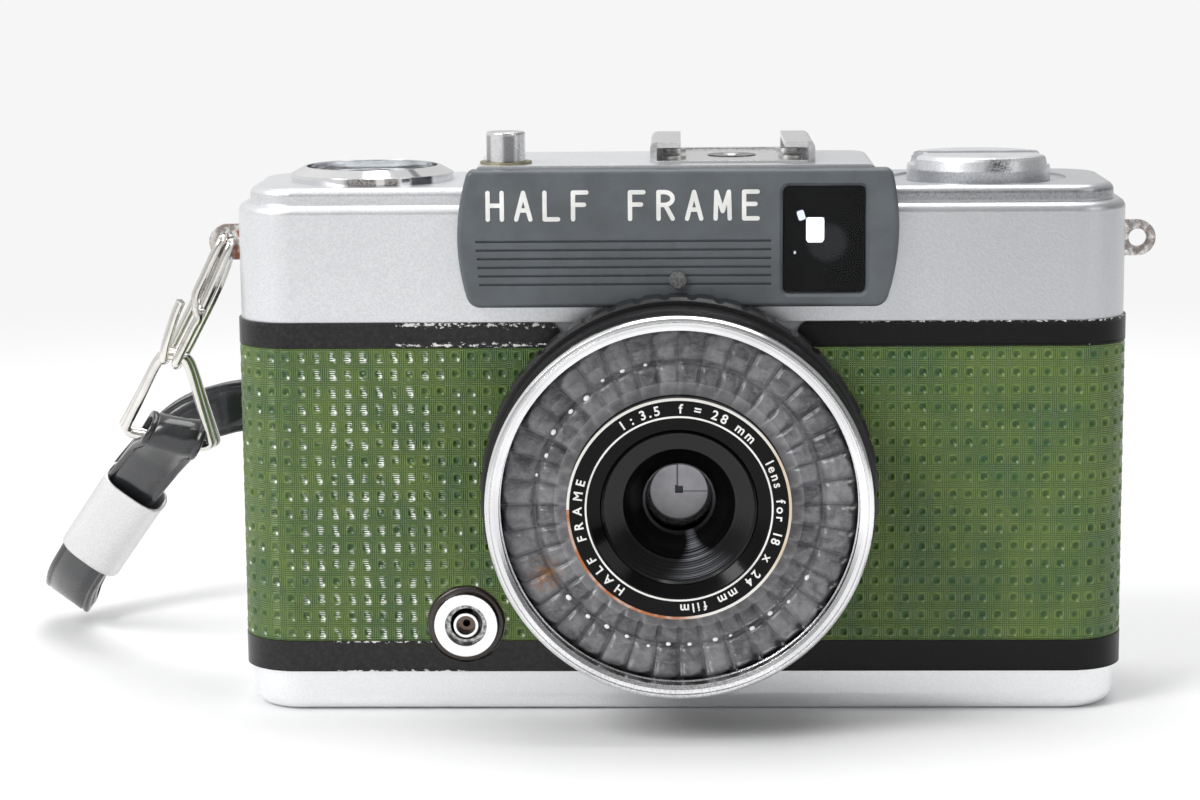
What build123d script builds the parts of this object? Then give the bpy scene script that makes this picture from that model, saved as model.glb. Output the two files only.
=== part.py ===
from build123d import *
from math import cos, radians, sin
import os

# Half frame camera. Millimetres, +Z up, lens towards -Y, +X to the right when facing the lens.
# Origin: middle of the body in plan, on the underside of the base plate.

# ---------------------------------------------------------------- body
BODY_W, BODY_D, BODY_R = 111.0, 27.0, 7.1  # outline over the leather trims
COVER_W, COVER_D, COVER_R = 110.4, 26.6, 7.0
BASE_W, BASE_D, BASE_R = 109.6, 26.4, 6.8
CORE_W, CORE_D, CORE_R = 109.8, 25.8, 6.5  # casting under the leather
WALL = 0.8
GAP = 0.1
FRONT = -BODY_D / 2
BACK = BODY_D / 2

BASE_TOP = 5.3
LOW_TRIM_TOP = 9.2
LEATHER_TOP = 46.4
COVER_BOTTOM = 49.5
SHOULDER = 64.0
PLATEAU = 66.0
BLOCK_TOP = 68.8
SPLIT = 9.8  # rear face of the casting, where the door starts
WRAP_END = 3.9  # rear edge of the leather and trims on both ends
LEATHER_FACE = -13.4

CHAMBER_BOTTOM, CHAMBER_TOP = 6.0, 48.8
FILM_PLANE = 9.0
GATE_W, GATE_H = 18.0, 24.0
CASSETTE_R = 12.5
CASTING_JOINT_X = 23.5
BASE_SCREW_XS = (-46.0, 14.5, 47.0)
TRIPOD_X, TRIPOD_R, TRIPOD_DEPTH = 0.0, 3.2, 4.9
RELEASE_X = 22.0  # rewind release button in the base
LUG_Z, LUG_HOLE_X, LUG_HOLE_R, LUG_THICK = 58.2, 57.74, 1.15, 1.0

# ---------------------------------------------------------------- door and its hinge
HINGE_X, HINGE_Y = -54.2, 9.9
KNUCKLE_R, HINGE_PIN_R = 1.25, 0.5
BODY_KNUCKLES = ((5.5, 12.0), (24.0, 31.0), (43.0, 53.6))
DOOR_KNUCKLES = ((11.9, 24.1), (30.9, 43.1))
DOOR_BOTTOM, DOOR_TOP = 5.5, 49.3
PANEL_HALF_W = 47.0

# ---------------------------------------------------------------- fascia, finder, shoe, release
BLOCK_X0, BLOCK_X1, BLOCK_BACK = -25.3, 24.0, 8.5
HOOD_FRONT, HOOD_BACK = -16.0, -13.35
HOOD_BOTTOM, HOOD_TOP = 51.6, 68.45
GROOVES = 6
GROOVE_TOP, GROOVE_PITCH = 59.76, 1.056
GROOVE_X0, GROOVE_X1 = -25.0, 10.99
GROOVE_HALF, GROOVE_DEPTH = 0.12, 0.28
HOOD_PIN_X, HOOD_PIN_Z = -0.33, 55.06
WINDOW_X0, WINDOW_X1, WINDOW_Z0, WINDOW_Z1 = 12.43, 22.56, 53.2, 66.4
FINDER_X = (WINDOW_X0 + WINDOW_X1) / 2
FINDER_Z = (WINDOW_Z0 + WINDOW_Z1) / 2

SHOE_X, SHOE_OUTER, SHOE_GAP = 6.45, 20.3, 12.8
SHOE_FRONT, SHOE_BACK, SHOE_TOP = -10.9, 7.0, 71.4
SHOE_FLOOR, SHOE_LIP, SHOE_STOP = 69.1, 70.7, 69.35
SHOE_CONTACT_Y = -2.4
SHOE_SCREWS = tuple((SHOE_X + dx, y) for dx in (-7.2, 7.2) for y in (-7.0, 4.2))
SHOE_SCREW_BOTTOM = 67.2

BUTTON_X, BUTTON_Y, BUTTON_R, BUTTON_TOP = -21.5, -9.6, 2.4, 72.8
BUTTON_FOOT, STEM_BOTTOM, STEM_R = 66.6, 59.6, 1.0
CABLE_HOLE_R, CABLE_HOLE_BOTTOM = 1.1, 69.3
SPRING_BOTTOM, SPRING_TOP = 61.3, 66.3
BRACKET_BOTTOM, BRACKET_TOP = 60.2, 61.0

# ---------------------------------------------------------------- film transport and rewind
WIND_X, WIND_Y = -39.1, 0.8  # winding wheel, take-up spool and counter share this axis
WHEEL_R, WHEEL_TEETH = 13.1, 60
WHEEL_BOTTOM, WHEEL_TOP = 51.5, 55.1
DIAL_BOTTOM = 65.3
SPROCKET_X, SPROCKET_Y = -18.6, 2.9
SPROCKET_R = 6.05
SPROCKET_TEETH = 8
REWIND_X, REWIND_Y = 37.6, 0.2  # rewind knob and film cassette share this axis
KNOB_R, KNOB_BOTTOM, KNOB_TOP = 9.0, 65.75, 69.0
CHANNEL_FLOOR, GRIP_WELL_FLOOR = 67.7, 66.3
CRANK_PIVOT_X, CRANK_PIVOT_Z = -6.4, 68.3
GRIP_X, GRIP_R = 6.2, 1.9

# ---------------------------------------------------------------- lens
LENS_X, LENS_Z = -0.3, 29.2
FILTER_R = 21.5
LENS_CLEAR_R = 22.6  # cut-outs round the lens mount
MOUNT_FACE, BARREL_FACE, LENS_FRONT = -15.9, -25.2, -30.0
LOBES, LOBE_R = 46, 24.3
SCALLOP_R, SCALLOP_OUT = 0.9, 0.6
CONE_STEPS, CONE_R, CONE_PITCH, CONE_RISE = 6, 9.0, 0.45, 0.42
STOP_R = 3.5  # clear opening in front of the aperture blades
STOP_HALF = 0.5  # half side of the smallest square stop
CAN_R, CAN_FRONT, CAN_BACK = 15.1, -17.5, -13.7  # shutter can, with its inside faces
MOUNT_SCREWS = tuple((LENS_X + 18.5 * cos(radians(a)), LENS_Z + 18.5 * sin(radians(a)))
                     for a in (45, 135, 225, 315))
MOUNT_SCREW_R, MOUNT_HEAD_R, MOUNT_HEAD_FLOOR = 0.8, 1.2, -15.0
SYNC_X, SYNC_Z = -27.0, 11.4
SYNC_CLEAR_R = 4.9
SYNC_MOUTH = -14.5

# pivot x, pivot z (from the lens axis), front face y, back face y
BLADES = {
    "aperture_a": (7.6, -7.6, -16.9, -16.7),
    "aperture_b": (-7.6, 7.6, -17.3, -17.1),
    "shutter_a": (-3.2, -10.4, -16.2, -16.0),
    "shutter_b": (3.2, -10.4, -15.6, -15.4),
}
BLADE_R, BLADE_EYE_R, BLADE_POST_R = 4.7, 1.3, 0.5

# ---------------------------------------------------------------- wrist strap
WIRE_R = 0.6
LINK_HALF = 1.7
LINK_PIVOT = Vector(-LUG_HOLE_X, 0, LUG_Z)
RING_APEX = Vector(-64.9, 0, 43.4)
RING_BAR = Vector(-66.9, 6.0, 31.6)
BAR_ALONG = Vector(0.987, 0, -0.161)
STRAP_WIDE, STRAP_THICK = 5.8, 2.4

# strap centre line from just under the ring's bar, through the ferrule and round behind
STRAP_POINTS = (
    (-68.9, 8.0, 29.2), (-73.45, 13.0, 23.7), (-77.4, 18.0, 18.4), (-81.3, 23.0, 13.1),
    (-84.6, 27.9, 8.3), (-86.2, 33.4, 4.9), (-85.4, 38.2, 6.0), (-82.0, 41.0, 11.5),
    (-76.5, 42.2, 19.6), (-70.2, 42.4, 26.2), (-65.2, 42.8, 28.8), (-61.4, 45.8, 29.4),
    (-60.2, 52.0, 28.4), (-60.0, 60.0, 26.4),
)
# direction of the strap's width at each of those points
STRAP_ACROSS = (
    (0.93, 0, -0.37), (0.80, 0, -0.60), (0.80, 0, -0.60), (0.80, 0, -0.60),
    (0.80, 0, -0.58), (0.80, -0.1, -0.56), (0.80, -0.2, -0.56), (0.76, -0.2, -0.62),
    (0.66, -0.1, -0.75), (0.48, 0, -0.88), (0.30, 0, -0.95), (0.0, 0.1, -1.0),
    (0.0, 0.18, -0.98), (0.0, 0.22, -0.97),
)


# ---------------------------------------------------------------- shared shapes
def slab(width, depth, radius, z0, z1):
    """Upright prism with a rounded rectangular plan, centred on the body."""
    return extrude(Pos(0, 0, z0) * RectangleRounded(width, depth, radius), z1 - z0)


def block(x0, x1, y0, y1, z0, z1):
    middle = Pos((x0 + x1) / 2, (y0 + y1) / 2, (z0 + z1) / 2)
    return middle * Box(x1 - x0, y1 - y0, z1 - z0)


def post(x, y, r, z0, z1):
    """Upright round bar."""
    return Pos(x, y, (z0 + z1) / 2) * Cylinder(r, z1 - z0)


def tube(x, y, r_out, r_in, z0, z1):
    return post(x, y, r_out, z0, z1) - post(x, y, r_in, z0 - 1, z1 + 1)


def rod(x, z, r, y0, y1):
    """Round bar along Y."""
    return Pos(x, (y0 + y1) / 2, z) * Rot(90, 0, 0) * Cylinder(r, y1 - y0)


def collar(r_out, r_in, y0, y1, x=LENS_X, z=LENS_Z):
    """Ring along Y, on the lens axis unless placed elsewhere."""
    return rod(x, z, r_out, y0, y1) - rod(x, z, r_in, y0 - 1, y1 + 1)


def turned(profile, x=LENS_X, z=LENS_Z):
    """Body of revolution about a Y axis; profile holds (radius, y) corners."""
    face = make_face(Polyline(*[(r, y, 0) for r, y in profile], close=True))
    return Pos(x, 0, z) * revolve(face, Axis.Y, 360)


def edges_at_z(solid, z):
    return [e for e in solid.edges() if abs(e.bounding_box().min.Z - z) < 1e-4
            and abs(e.bounding_box().max.Z - z) < 1e-4]


# ---------------------------------------------------------------- casing
def body_casting():
    """Chassis in two castings that butt beside the cassette: main frame and cassette chamber."""
    whole = chassis()
    main = whole & block(-60, CASTING_JOINT_X, -20, 20, 0, 70)
    chamber = whole & block(CASTING_JOINT_X, 60, -20, 20, 0, 70)
    return Compound(children=main.solids() + chamber.solids())


def chassis():
    """Film chambers, throat, lens recess and the rear frame round the door."""
    core = slab(CORE_W, CORE_D, CORE_R, BASE_TOP, COVER_BOTTOM)
    frame = slab(BODY_W - 0.2, BODY_D - 0.2, BODY_R, BASE_TOP, COVER_BOTTOM)
    frame &= block(-60, 60, 4.0, SPLIT, 0, 60)
    top = slab(COVER_W - 2 * WALL - 0.4, COVER_D - 2 * WALL - 0.4, 6.0, COVER_BOTTOM - 0.5, 50.6)
    top -= block(-60, 60, SPLIT, 20, 40, COVER_BOTTOM)
    shell = (core - block(-60, 60, SPLIT, 20, 0, 60)) + frame + top

    cassette = post(REWIND_X, REWIND_Y, CASSETTE_R, CHAMBER_BOTTOM, CHAMBER_TOP)
    cassette += block(REWIND_X - CASSETTE_R, REWIND_X + CASSETTE_R, REWIND_Y, 20,
                      CHAMBER_BOTTOM, CHAMBER_TOP)
    take_up = block(-52.6, -26.2, -12.1, 20, CHAMBER_BOTTOM, CHAMBER_TOP)
    take_up += block(-27, -11.4, -4.5, 20, CHAMBER_BOTTOM, CHAMBER_TOP)
    channel = block(-50, REWIND_X, 8.3, 20, CHAMBER_BOTTOM, CHAMBER_TOP)
    throat = loft([Plane.XZ.offset(9.0) * Pos(LENS_X, LENS_Z) * Rectangle(13, 17),
                   Plane.XZ.offset(-8.4) * Pos(LENS_X, LENS_Z) * Rectangle(GATE_W, GATE_H)])
    shell -= cassette + take_up + channel + throat
    shell -= rod(LENS_X, LENS_Z, 15.6, -14, -8.8)
    shell -= rod(SYNC_X, SYNC_Z, 2.05, -14, -10)
    shell -= post(WIND_X, WIND_Y, 2.05, 48, 52)
    shell -= post(REWIND_X, REWIND_Y, 2.05, 48, 52)
    for z0, z1 in ((5, 6.5), (48, 52)):
        shell -= post(SPROCKET_X, SPROCKET_Y, 1.05, z0, z1)
    shell -= block(53.9, 60, 5.0, SPLIT + 1, 20.0, 35.5)
    for x, z in MOUNT_SCREWS:
        shell -= rod(x, z, MOUNT_SCREW_R, -14, -11.0)
    for x in BASE_SCREW_XS:
        shell -= post(x, 0, 1.0, 5, 5.9)
    knuckles = [post(HINGE_X, HINGE_Y, KNUCKLE_R + 0.2, z0, z1) for z0, z1 in DOOR_KNUCKLES]
    shell = shell - knuckles[0] - knuckles[1] + body_knuckles() - hinge_bore(HINGE_PIN_R)
    return shell + release_bracket() + post(WIND_X, WIND_Y, 1.0, BASE_TOP + 0.4, 11.5)


def hinge_bore(r):
    return post(HINGE_X, HINGE_Y, r, 5.6, 49.3)


def body_knuckles():
    """Fixed half of the rear door's hinge barrel."""
    parts = [post(HINGE_X, HINGE_Y, KNUCKLE_R, z0, z1) for z0, z1 in BODY_KNUCKLES]
    webs = [block(HINGE_X, HINGE_X + 1.4, HINGE_Y - 2.2, HINGE_Y - 0.1, z0, min(z1, COVER_BOTTOM))
            for z0, z1 in BODY_KNUCKLES]
    return parts[0] + parts[1] + parts[2] + webs[0] + webs[1] + webs[2]


def wrap_sheet(z0, z1, face_y, back_y):
    """Sheet wrapped round the front and both ends of the casting, up to the rear frame."""
    depth = -2 * face_y
    width = CORE_W + (-face_y - CORE_D / 2) * 2
    outer = slab(width, depth, CORE_R + (-face_y - CORE_D / 2), z0, z1)
    inner = slab(CORE_W, CORE_D, CORE_R, z0 - 1, z1 + 1)
    return (outer - inner) & block(-60, 60, -20, back_y, 0, 60)


def leather():
    sheet = wrap_sheet(LOW_TRIM_TOP, LEATHER_TOP, LEATHER_FACE, WRAP_END)
    sheet -= rod(LENS_X, LENS_Z, LENS_CLEAR_R, -16, -12)
    return sheet - rod(SYNC_X, SYNC_Z, SYNC_CLEAR_R, -16, -12)


def upper_trim():
    """Two dark strips over the leather, with round ends beside the lens."""
    strip = wrap_sheet(LEATHER_TOP, COVER_BOTTOM, FRONT, WRAP_END)
    middle = (LEATHER_TOP + COVER_BOTTOM) / 2
    end_r = (COVER_BOTTOM - LEATHER_TOP) / 2
    inner_l, inner_r = -14.9 - end_r, 14.3 + end_r
    gap = block(inner_l, inner_r, -16, -12, LEATHER_TOP - 1, COVER_BOTTOM + 1)
    gap -= rod(inner_l, middle, end_r, -17, -11) + rod(inner_r, middle, end_r, -17, -11)
    return strip - gap


def lower_trim():
    strip = wrap_sheet(BASE_TOP, LOW_TRIM_TOP, FRONT, WRAP_END)
    strip -= rod(LENS_X, LENS_Z, LENS_CLEAR_R, -16, -12)
    return strip - rod(SYNC_X, SYNC_Z, SYNC_CLEAR_R, -16, -12)


def base_plate():
    """Shallow pressed tray with rolled lower edges and a raised boss ring for the tripod."""
    tray = slab(BASE_W, BASE_D, BASE_R, 0, BASE_TOP)
    tray = fillet(edges_at_z(tray, 0), 2.4)
    tray -= slab(BASE_W - 2 * WALL, BASE_D - 2 * WALL, BASE_R - WALL, 2.6, BASE_TOP + 1)
    tray -= slab(BASE_W - 5.0, BASE_D - 5.0, BASE_R - 2.5, WALL, 3)
    tray -= post(TRIPOD_X, 0, 5.05, -1, 6)
    tray -= post(RELEASE_X, 0, 2.05, -1, 6)
    for x in BASE_SCREW_XS:
        tray -= post(x, 0, 1.05, -1, 6)
        tray -= Pos(x, 0, 0.4) * Cone(1.9, 1.05, 0.8)
    return tray


def screws():
    """Countersunk base screws, pan-headed shoe screws and the screws of the lens mount."""
    return Compound(children=base_screws() + shoe_screws() + mount_screws())


def base_screws():
    screws = []
    for x in BASE_SCREW_XS:
        head = Pos(x, 0, 0.4) * Cone(1.85, 1.0, 0.8)
        screw = head + post(x, 0, 1.0, 0.8, 5.9)
        screws.append(screw - block(x - 2, x + 2, -0.2, 0.2, -1, 0.35))
    return screws


def tripod_socket():
    """Steel bush with the stand's thread as a plain bore."""
    bush = post(TRIPOD_X, 0, 5.0, 0, 0.9) + post(TRIPOD_X, 0, 4.6, 0.9, BASE_TOP)
    return bush - post(TRIPOD_X, 0, TRIPOD_R, -1, TRIPOD_DEPTH)


def rewind_release_button():
    return post(RELEASE_X, 0, 2.0, 0.15, 0.9) + post(RELEASE_X, 0, 1.2, 0.9, 3.4)


def top_cover():
    """Pressed top cover with shoulder, plateau and the raised centre block."""
    lower = slab(COVER_W, COVER_D, COVER_R, COVER_BOTTOM, SHOULDER)
    lower = fillet(edges_at_z(lower, SHOULDER), 1.15)
    plateau = slab(COVER_W - 3.0, COVER_D - 3.0, COVER_R - 1.5, SHOULDER - 1, PLATEAU)
    plateau = fillet(edges_at_z(plateau, PLATEAU), 1.0)
    raised = block(BLOCK_X0, BLOCK_X1, -COVER_D / 2, BLOCK_BACK, 60, BLOCK_TOP)
    raised = fillet([e for e in raised.edges().filter_by(Axis.Z) if e.center().Y > 0], 3.0)
    raised = fillet([e for e in edges_at_z(raised, BLOCK_TOP) if e.center().Y > -13], 1.0)
    shell = lower + plateau + raised

    inner = slab(COVER_W - 2 * WALL, COVER_D - 2 * WALL, COVER_R - WALL, COVER_BOTTOM - 1, 62.8)
    inner += slab(COVER_W - 4.8, COVER_D - 4.8, COVER_R - 2.4, 62, PLATEAU - WALL)
    inner += block(BLOCK_X0 + 0.9, BLOCK_X1 - 0.9, -12.5, BLOCK_BACK - 1.0, 60, BLOCK_TOP - WALL)
    shell -= inner

    shell -= block(WINDOW_X0 - 0.6, WINDOW_X1 + 0.6, -15, -12, WINDOW_Z0 - 0.6, WINDOW_Z1 + 0.6)
    shell -= block(FINDER_X - 4.6, FINDER_X + 4.6, 11.3, 15, FINDER_Z - 3.6, FINDER_Z + 3.6)
    shell -= rod(LENS_X, LENS_Z, LENS_CLEAR_R, -15, -12)
    shell -= post(BUTTON_X, BUTTON_Y, BUTTON_R + 0.1, 67, 70)
    shell -= post(WIND_X, WIND_Y, 8.5, 64, 68)
    shell -= block(WIND_X - 11.8, WIND_X + 11.8, 12, 15, 51.1, 55.5)
    shell -= post(REWIND_X, REWIND_Y, 11.0, PLATEAU - 0.3, 68)
    shell -= post(REWIND_X, REWIND_Y, 2.6, 64, 68)
    for side in (-1, 1):
        slot = block(0, 2.5, -LUG_THICK / 2 - 0.02, LUG_THICK / 2 + 0.02, LUG_Z - 2.4, LUG_Z + 2.4)
        shell -= Pos(side * 54.0 - (2.5 if side < 0 else 0), 0, 0) * slot
    for x, y in SHOE_SCREWS:
        shell -= post(x, y, 0.85, 67, 70)
    return shell - post(HINGE_X, HINGE_Y, KNUCKLE_R + 0.15, 49, 53.8)


def strap_lugs():
    """Two flat strap eyelets, one at each end of the cover."""
    return Compound(children=[lug(-1), lug(1)])


def lug(side):
    """Flat eyelet with its foot inside the cover wall; side is -1 or +1."""
    flat = Plane.XZ * SlotCenterToCenter(8.0, 4.5)
    plate = extrude(flat, LUG_THICK / 2, both=True)
    plate = Pos(side * (LUG_HOLE_X - 4.0), 0, LUG_Z) * plate
    plate &= block(-60, 60, -1, 1, 50, 65) - block(-54.1, 54.1, -2, 2, 40, 70)
    plate -= rod(side * LUG_HOLE_X, LUG_Z, LUG_HOLE_R, -2, 2)
    foot = block(53.6, 54.3, -2.6, 2.6, LUG_Z - 3.4, LUG_Z + 3.4)
    return plate + (foot if side > 0 else mirror(foot, Plane.YZ))


# ---------------------------------------------------------------- fascia and finder
def hood_outline():
    top, bottom = HOOD_TOP, HOOD_BOTTOM
    left = ThreePointArc((-25.9, top), (-27.2, 62.2), (-25.8, bottom))
    right = ThreePointArc((24.9, bottom), (26.6, 61.6), (25.7, top))
    return make_face([Line((25.7, top), (-25.9, top)), left,
                      Line((-25.8, bottom), (24.9, bottom)), right])


def hood():
    """Moulded front fascia with fine grooves and the finder's window frame."""
    face = Plane.XZ.offset(-HOOD_BACK) * hood_outline()
    body = extrude(face, HOOD_BACK - HOOD_FRONT)
    upright = body.edges().filter_by(Axis.Y)
    body = fillet([e for e in upright if e.center().Z < 60], 1.8)
    body = fillet([e for e in body.edges().filter_by(Axis.Y) if e.center().Z > 60], 0.9)
    front = [e for e in body.edges() if abs(e.bounding_box().min.Y - HOOD_FRONT) < 1e-4
             and abs(e.bounding_box().max.Y - HOOD_FRONT) < 1e-4]
    body = fillet(front, 0.6)
    for i in range(GROOVES):
        z = GROOVE_TOP - i * GROOVE_PITCH
        shift = 0.08 * i
        body -= block(GROOVE_X0 + shift, GROOVE_X1, -17, HOOD_FRONT + GROOVE_DEPTH,
                      z - GROOVE_HALF, z + GROOVE_HALF)
    opening = Plane.XZ.offset(17) * Pos(FINDER_X, FINDER_Z)
    width, height = WINDOW_X1 - WINDOW_X0, WINDOW_Z1 - WINDOW_Z0
    body -= extrude(opening * RectangleRounded(width, height, 0.8), -6)
    body -= window_bevel(width, height)
    body -= rod(LENS_X, LENS_Z, LENS_CLEAR_R, -17, -13)
    return body - rod(HOOD_PIN_X, HOOD_PIN_Z, 0.75, -17, -13)


def window_bevel(width, height):
    """Flared cutter for the front edge of the finder's opening."""
    near = Plane.XZ.offset(-HOOD_FRONT + 0.05) * Pos(FINDER_X, FINDER_Z)
    far = Plane.XZ.offset(-HOOD_FRONT - 0.4) * Pos(FINDER_X, FINDER_Z)
    return loft([far * RectangleRounded(width, height, 0.8),
                 near * RectangleRounded(width + 0.8, height + 0.8, 1.1)])


def hood_pin():
    pin = rod(HOOD_PIN_X, HOOD_PIN_Z, 1.05, -16.6, HOOD_FRONT)
    return pin + rod(HOOD_PIN_X, HOOD_PIN_Z, 0.73, HOOD_FRONT, HOOD_BACK)


def finder_window():
    """Clear front pane, set just inside the fascia."""
    width, height = WINDOW_X1 - WINDOW_X0 - GAP, WINDOW_Z1 - WINDOW_Z0 - GAP
    pane = Plane.XZ.offset(14.5) * Pos(FINDER_X, FINDER_Z) * RectangleRounded(width, height, 0.8)
    return extrude(pane, 0.9)


def finder_tube():
    """Black tunnel from the front pane to the eyepiece."""
    outer = loft([Plane.XZ.offset(12.0) * Pos(FINDER_X, FINDER_Z) * Rectangle(10.6, 13.4),
                  Plane.XZ.offset(-11.2) * Pos(FINDER_X, FINDER_Z - 0.4) * Rectangle(8.6, 6.2)])
    inner = loft([Plane.XZ.offset(12.1) * Pos(FINDER_X, FINDER_Z) * Rectangle(9.4, 12.2),
                  Plane.XZ.offset(-11.3) * Pos(FINDER_X, FINDER_Z - 0.4) * Rectangle(7.4, 5.0)])
    return outer - inner


def finder_front_lens():
    """Weak negative lens behind the mask."""
    glass = block(FINDER_X - 4.5, FINDER_X + 4.5, -13.7, -12.1, FINDER_Z - 5.9, FINDER_Z + 5.9)
    return glass - Pos(FINDER_X, 5.0, FINDER_Z) * Sphere(18.0)


def eyepiece():
    """Rear eyepiece frame in the cover's back wall."""
    frame = block(FINDER_X - 4.55, FINDER_X + 4.55, 11.4, 13.9, FINDER_Z - 3.55, FINDER_Z + 3.55)
    frame = fillet(frame.edges().filter_by(Axis.Y), 0.9)
    return frame - block(FINDER_X - 3.4, FINDER_X + 3.4, 11, 14.5, FINDER_Z - 2.4, FINDER_Z + 2.4)


def eyepiece_lens():
    glass = block(FINDER_X - 3.35, FINDER_X + 3.35, 11.9, 13.1, FINDER_Z - 2.35, FINDER_Z + 2.35)
    bulge = Pos(FINDER_X, 13.1 - 22.0, FINDER_Z) * Sphere(22.0 + 0.3)
    return glass + (bulge & block(FINDER_X - 3.35, FINDER_X + 3.35, 13.1, 14, FINDER_Z - 2.35,
                                  FINDER_Z + 2.35))


# ---------------------------------------------------------------- accessory shoe
def hot_shoe():
    """C-shaped rails with rounded shoulders and a floor; the slot takes an 18.6 mm foot."""
    x0, x1 = SHOE_X - SHOE_OUTER / 2, SHOE_X + SHOE_OUTER / 2
    gap0, gap1 = SHOE_X - SHOE_GAP / 2, SHOE_X + SHOE_GAP / 2
    open_front, inner_back = SHOE_FRONT - 1, SHOE_BACK - WALL
    shoe = block(x0, x1, SHOE_FRONT, SHOE_BACK, BLOCK_TOP, SHOE_TOP)
    shoulders = [e for e in edges_at_z(shoe, SHOE_TOP) if abs(e.center().X - SHOE_X) > 5]
    shoe = fillet(shoulders, 0.9)
    shoe -= block(x0 + WALL, x1 - WALL, open_front, inner_back, SHOE_FLOOR, SHOE_LIP)
    shoe -= block(gap0, gap1, open_front, SHOE_BACK + 1, SHOE_STOP, 73)
    shoe -= block(gap0, gap1, open_front, inner_back, SHOE_FLOOR, 73)
    for x in (x0, x1):
        shoe -= Pos(x, SHOE_FRONT, 70) * Rot(0, 0, 45) * Box(1.4, 1.4, 6)
    shoe -= post(SHOE_X, SHOE_CONTACT_Y, 3.05, 68, 70)
    for x, y in SHOE_SCREWS:
        shoe -= post(x, y, 0.85, 68, 70)
    return shoe


def shoe_screws():
    screws = []
    for x, y in SHOE_SCREWS:
        head = post(x, y, 1.5, SHOE_FLOOR, SHOE_FLOOR + 0.35)
        slot = block(x - 2, x + 2, y - 0.18, y + 0.18, SHOE_FLOOR + 0.2, 70)
        screws.append(head + post(x, y, 0.8, SHOE_SCREW_BOTTOM, SHOE_FLOOR) - slot)
    return screws


def shoe_insulator():
    return tube(SHOE_X, SHOE_CONTACT_Y, 3.0, 1.15, BLOCK_TOP, SHOE_FLOOR + 0.1)


def shoe_contact():
    top = SHOE_FLOOR + 0.25
    return fillet(edges_at_z(post(SHOE_X, SHOE_CONTACT_Y, 1.1, BLOCK_TOP, top), top), 0.3)


# ---------------------------------------------------------------- release
def release_collar():
    return tube(BUTTON_X, BUTTON_Y, 3.2, BUTTON_R + 0.1, BLOCK_TOP, BLOCK_TOP + 0.3)


def release_button():
    """Plunger with a tapered cable-release hole in its dished top."""
    top = post(BUTTON_X, BUTTON_Y, BUTTON_R, BUTTON_FOOT, BUTTON_TOP)
    top = fillet(edges_at_z(top, BUTTON_TOP), 0.35)
    top -= Pos(BUTTON_X, BUTTON_Y, BUTTON_TOP + 7.6) * Sphere(8.0)
    stem = post(BUTTON_X, BUTTON_Y, STEM_R, STEM_BOTTOM, BUTTON_FOOT)
    return top + stem - post(BUTTON_X, BUTTON_Y, CABLE_HOLE_R, CABLE_HOLE_BOTTOM, 73)


def release_bracket():
    """Arm of the casting that guides the plunger's stem and carries the spring."""
    x0, x1, y0, y1 = BUTTON_X - 3.6, BUTTON_X + 3.6, -12.4, -5.6
    plate = block(x0, x1, y0, y1, BRACKET_BOTTOM, BRACKET_TOP)
    plate -= post(BUTTON_X, BUTTON_Y, STEM_R + 0.08, 60, 62)
    return plate + block(x0, x0 + WALL, y0, y1, 50.6, BRACKET_BOTTOM)


def release_spring():
    path = Pos(BUTTON_X, BUTTON_Y, SPRING_BOTTOM) * Helix(1.0, SPRING_TOP - SPRING_BOTTOM, 1.75)
    wire = Plane(origin=path @ 0, z_dir=path % 0) * Circle(0.2)
    return sweep(wire, path=path, is_frenet=True)


# ---------------------------------------------------------------- counter and winding
def on_wind(solid):
    return Pos(WIND_X, WIND_Y, 0) * solid


def counter_bezel():
    """Bevelled ring that frames the frame counter."""
    profile = make_face(Polyline((8.45, PLATEAU), (10.3, PLATEAU), (10.3, 66.9), (8.64, 67.8),
                                 (8.3, 67.8), (8.3, 66.6), (7.7, 66.6), (7.7, 66.2), (8.45, 66.2),
                                 close=True))
    return on_wind(revolve(Plane.XZ * profile, Axis.Z, 360))


def counter_cover():
    """Clear disc over the dial, held by the bezel."""
    return on_wind(fillet(edges_at_z(post(0, 0, 8.25, 66.65, 67.45), 67.45), 0.2))


def counter_dial():
    dial = post(0, 0, 8.0, DIAL_BOTTOM, DIAL_BOTTOM + 0.6)
    return on_wind(dial + post(0, 0, 1.4, 62.5, DIAL_BOTTOM))


def winding_wheel():
    """Knurled thumb wheel that stands out of the slot in the rear of the cover."""
    wheel = post(0, 0, WHEEL_R, WHEEL_BOTTOM, WHEEL_TOP)
    wheel = chamfer(edges_at_z(wheel, WHEEL_TOP) + edges_at_z(wheel, WHEEL_BOTTOM), 0.35)
    notch = post(WHEEL_R + 0.12, 0, 0.42, 50, 57)
    notches = [Rot(0, 0, 360 * i / WHEEL_TEETH) * notch for i in range(WHEEL_TEETH)]
    wheel -= notches
    wheel -= tube(0, 0, 10.5, 4.0, 53.6, 56)
    shaft = post(0, 0, 2.0, 41.0, WHEEL_BOTTOM + 0.1) + post(0, 0, 1.6, WHEEL_TOP - 0.1, 62.45)
    return on_wind(wheel + shaft)


def take_up_spool():
    """Slotted film spool on the winding shaft's friction clutch."""
    spool = post(0, 0, 5.2, 8.6, 46.4) + post(0, 0, 8.8, 7.8, 8.8) + post(0, 0, 8.8, 46.0, 46.8)
    spool -= post(0, 0, 2.05, 40.8, 48)
    spool -= post(0, 0, 1.05, 7, 12)
    spool -= block(-0.6, 0.6, 2.6, 8, 12, 43)
    return on_wind(spool)


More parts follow.
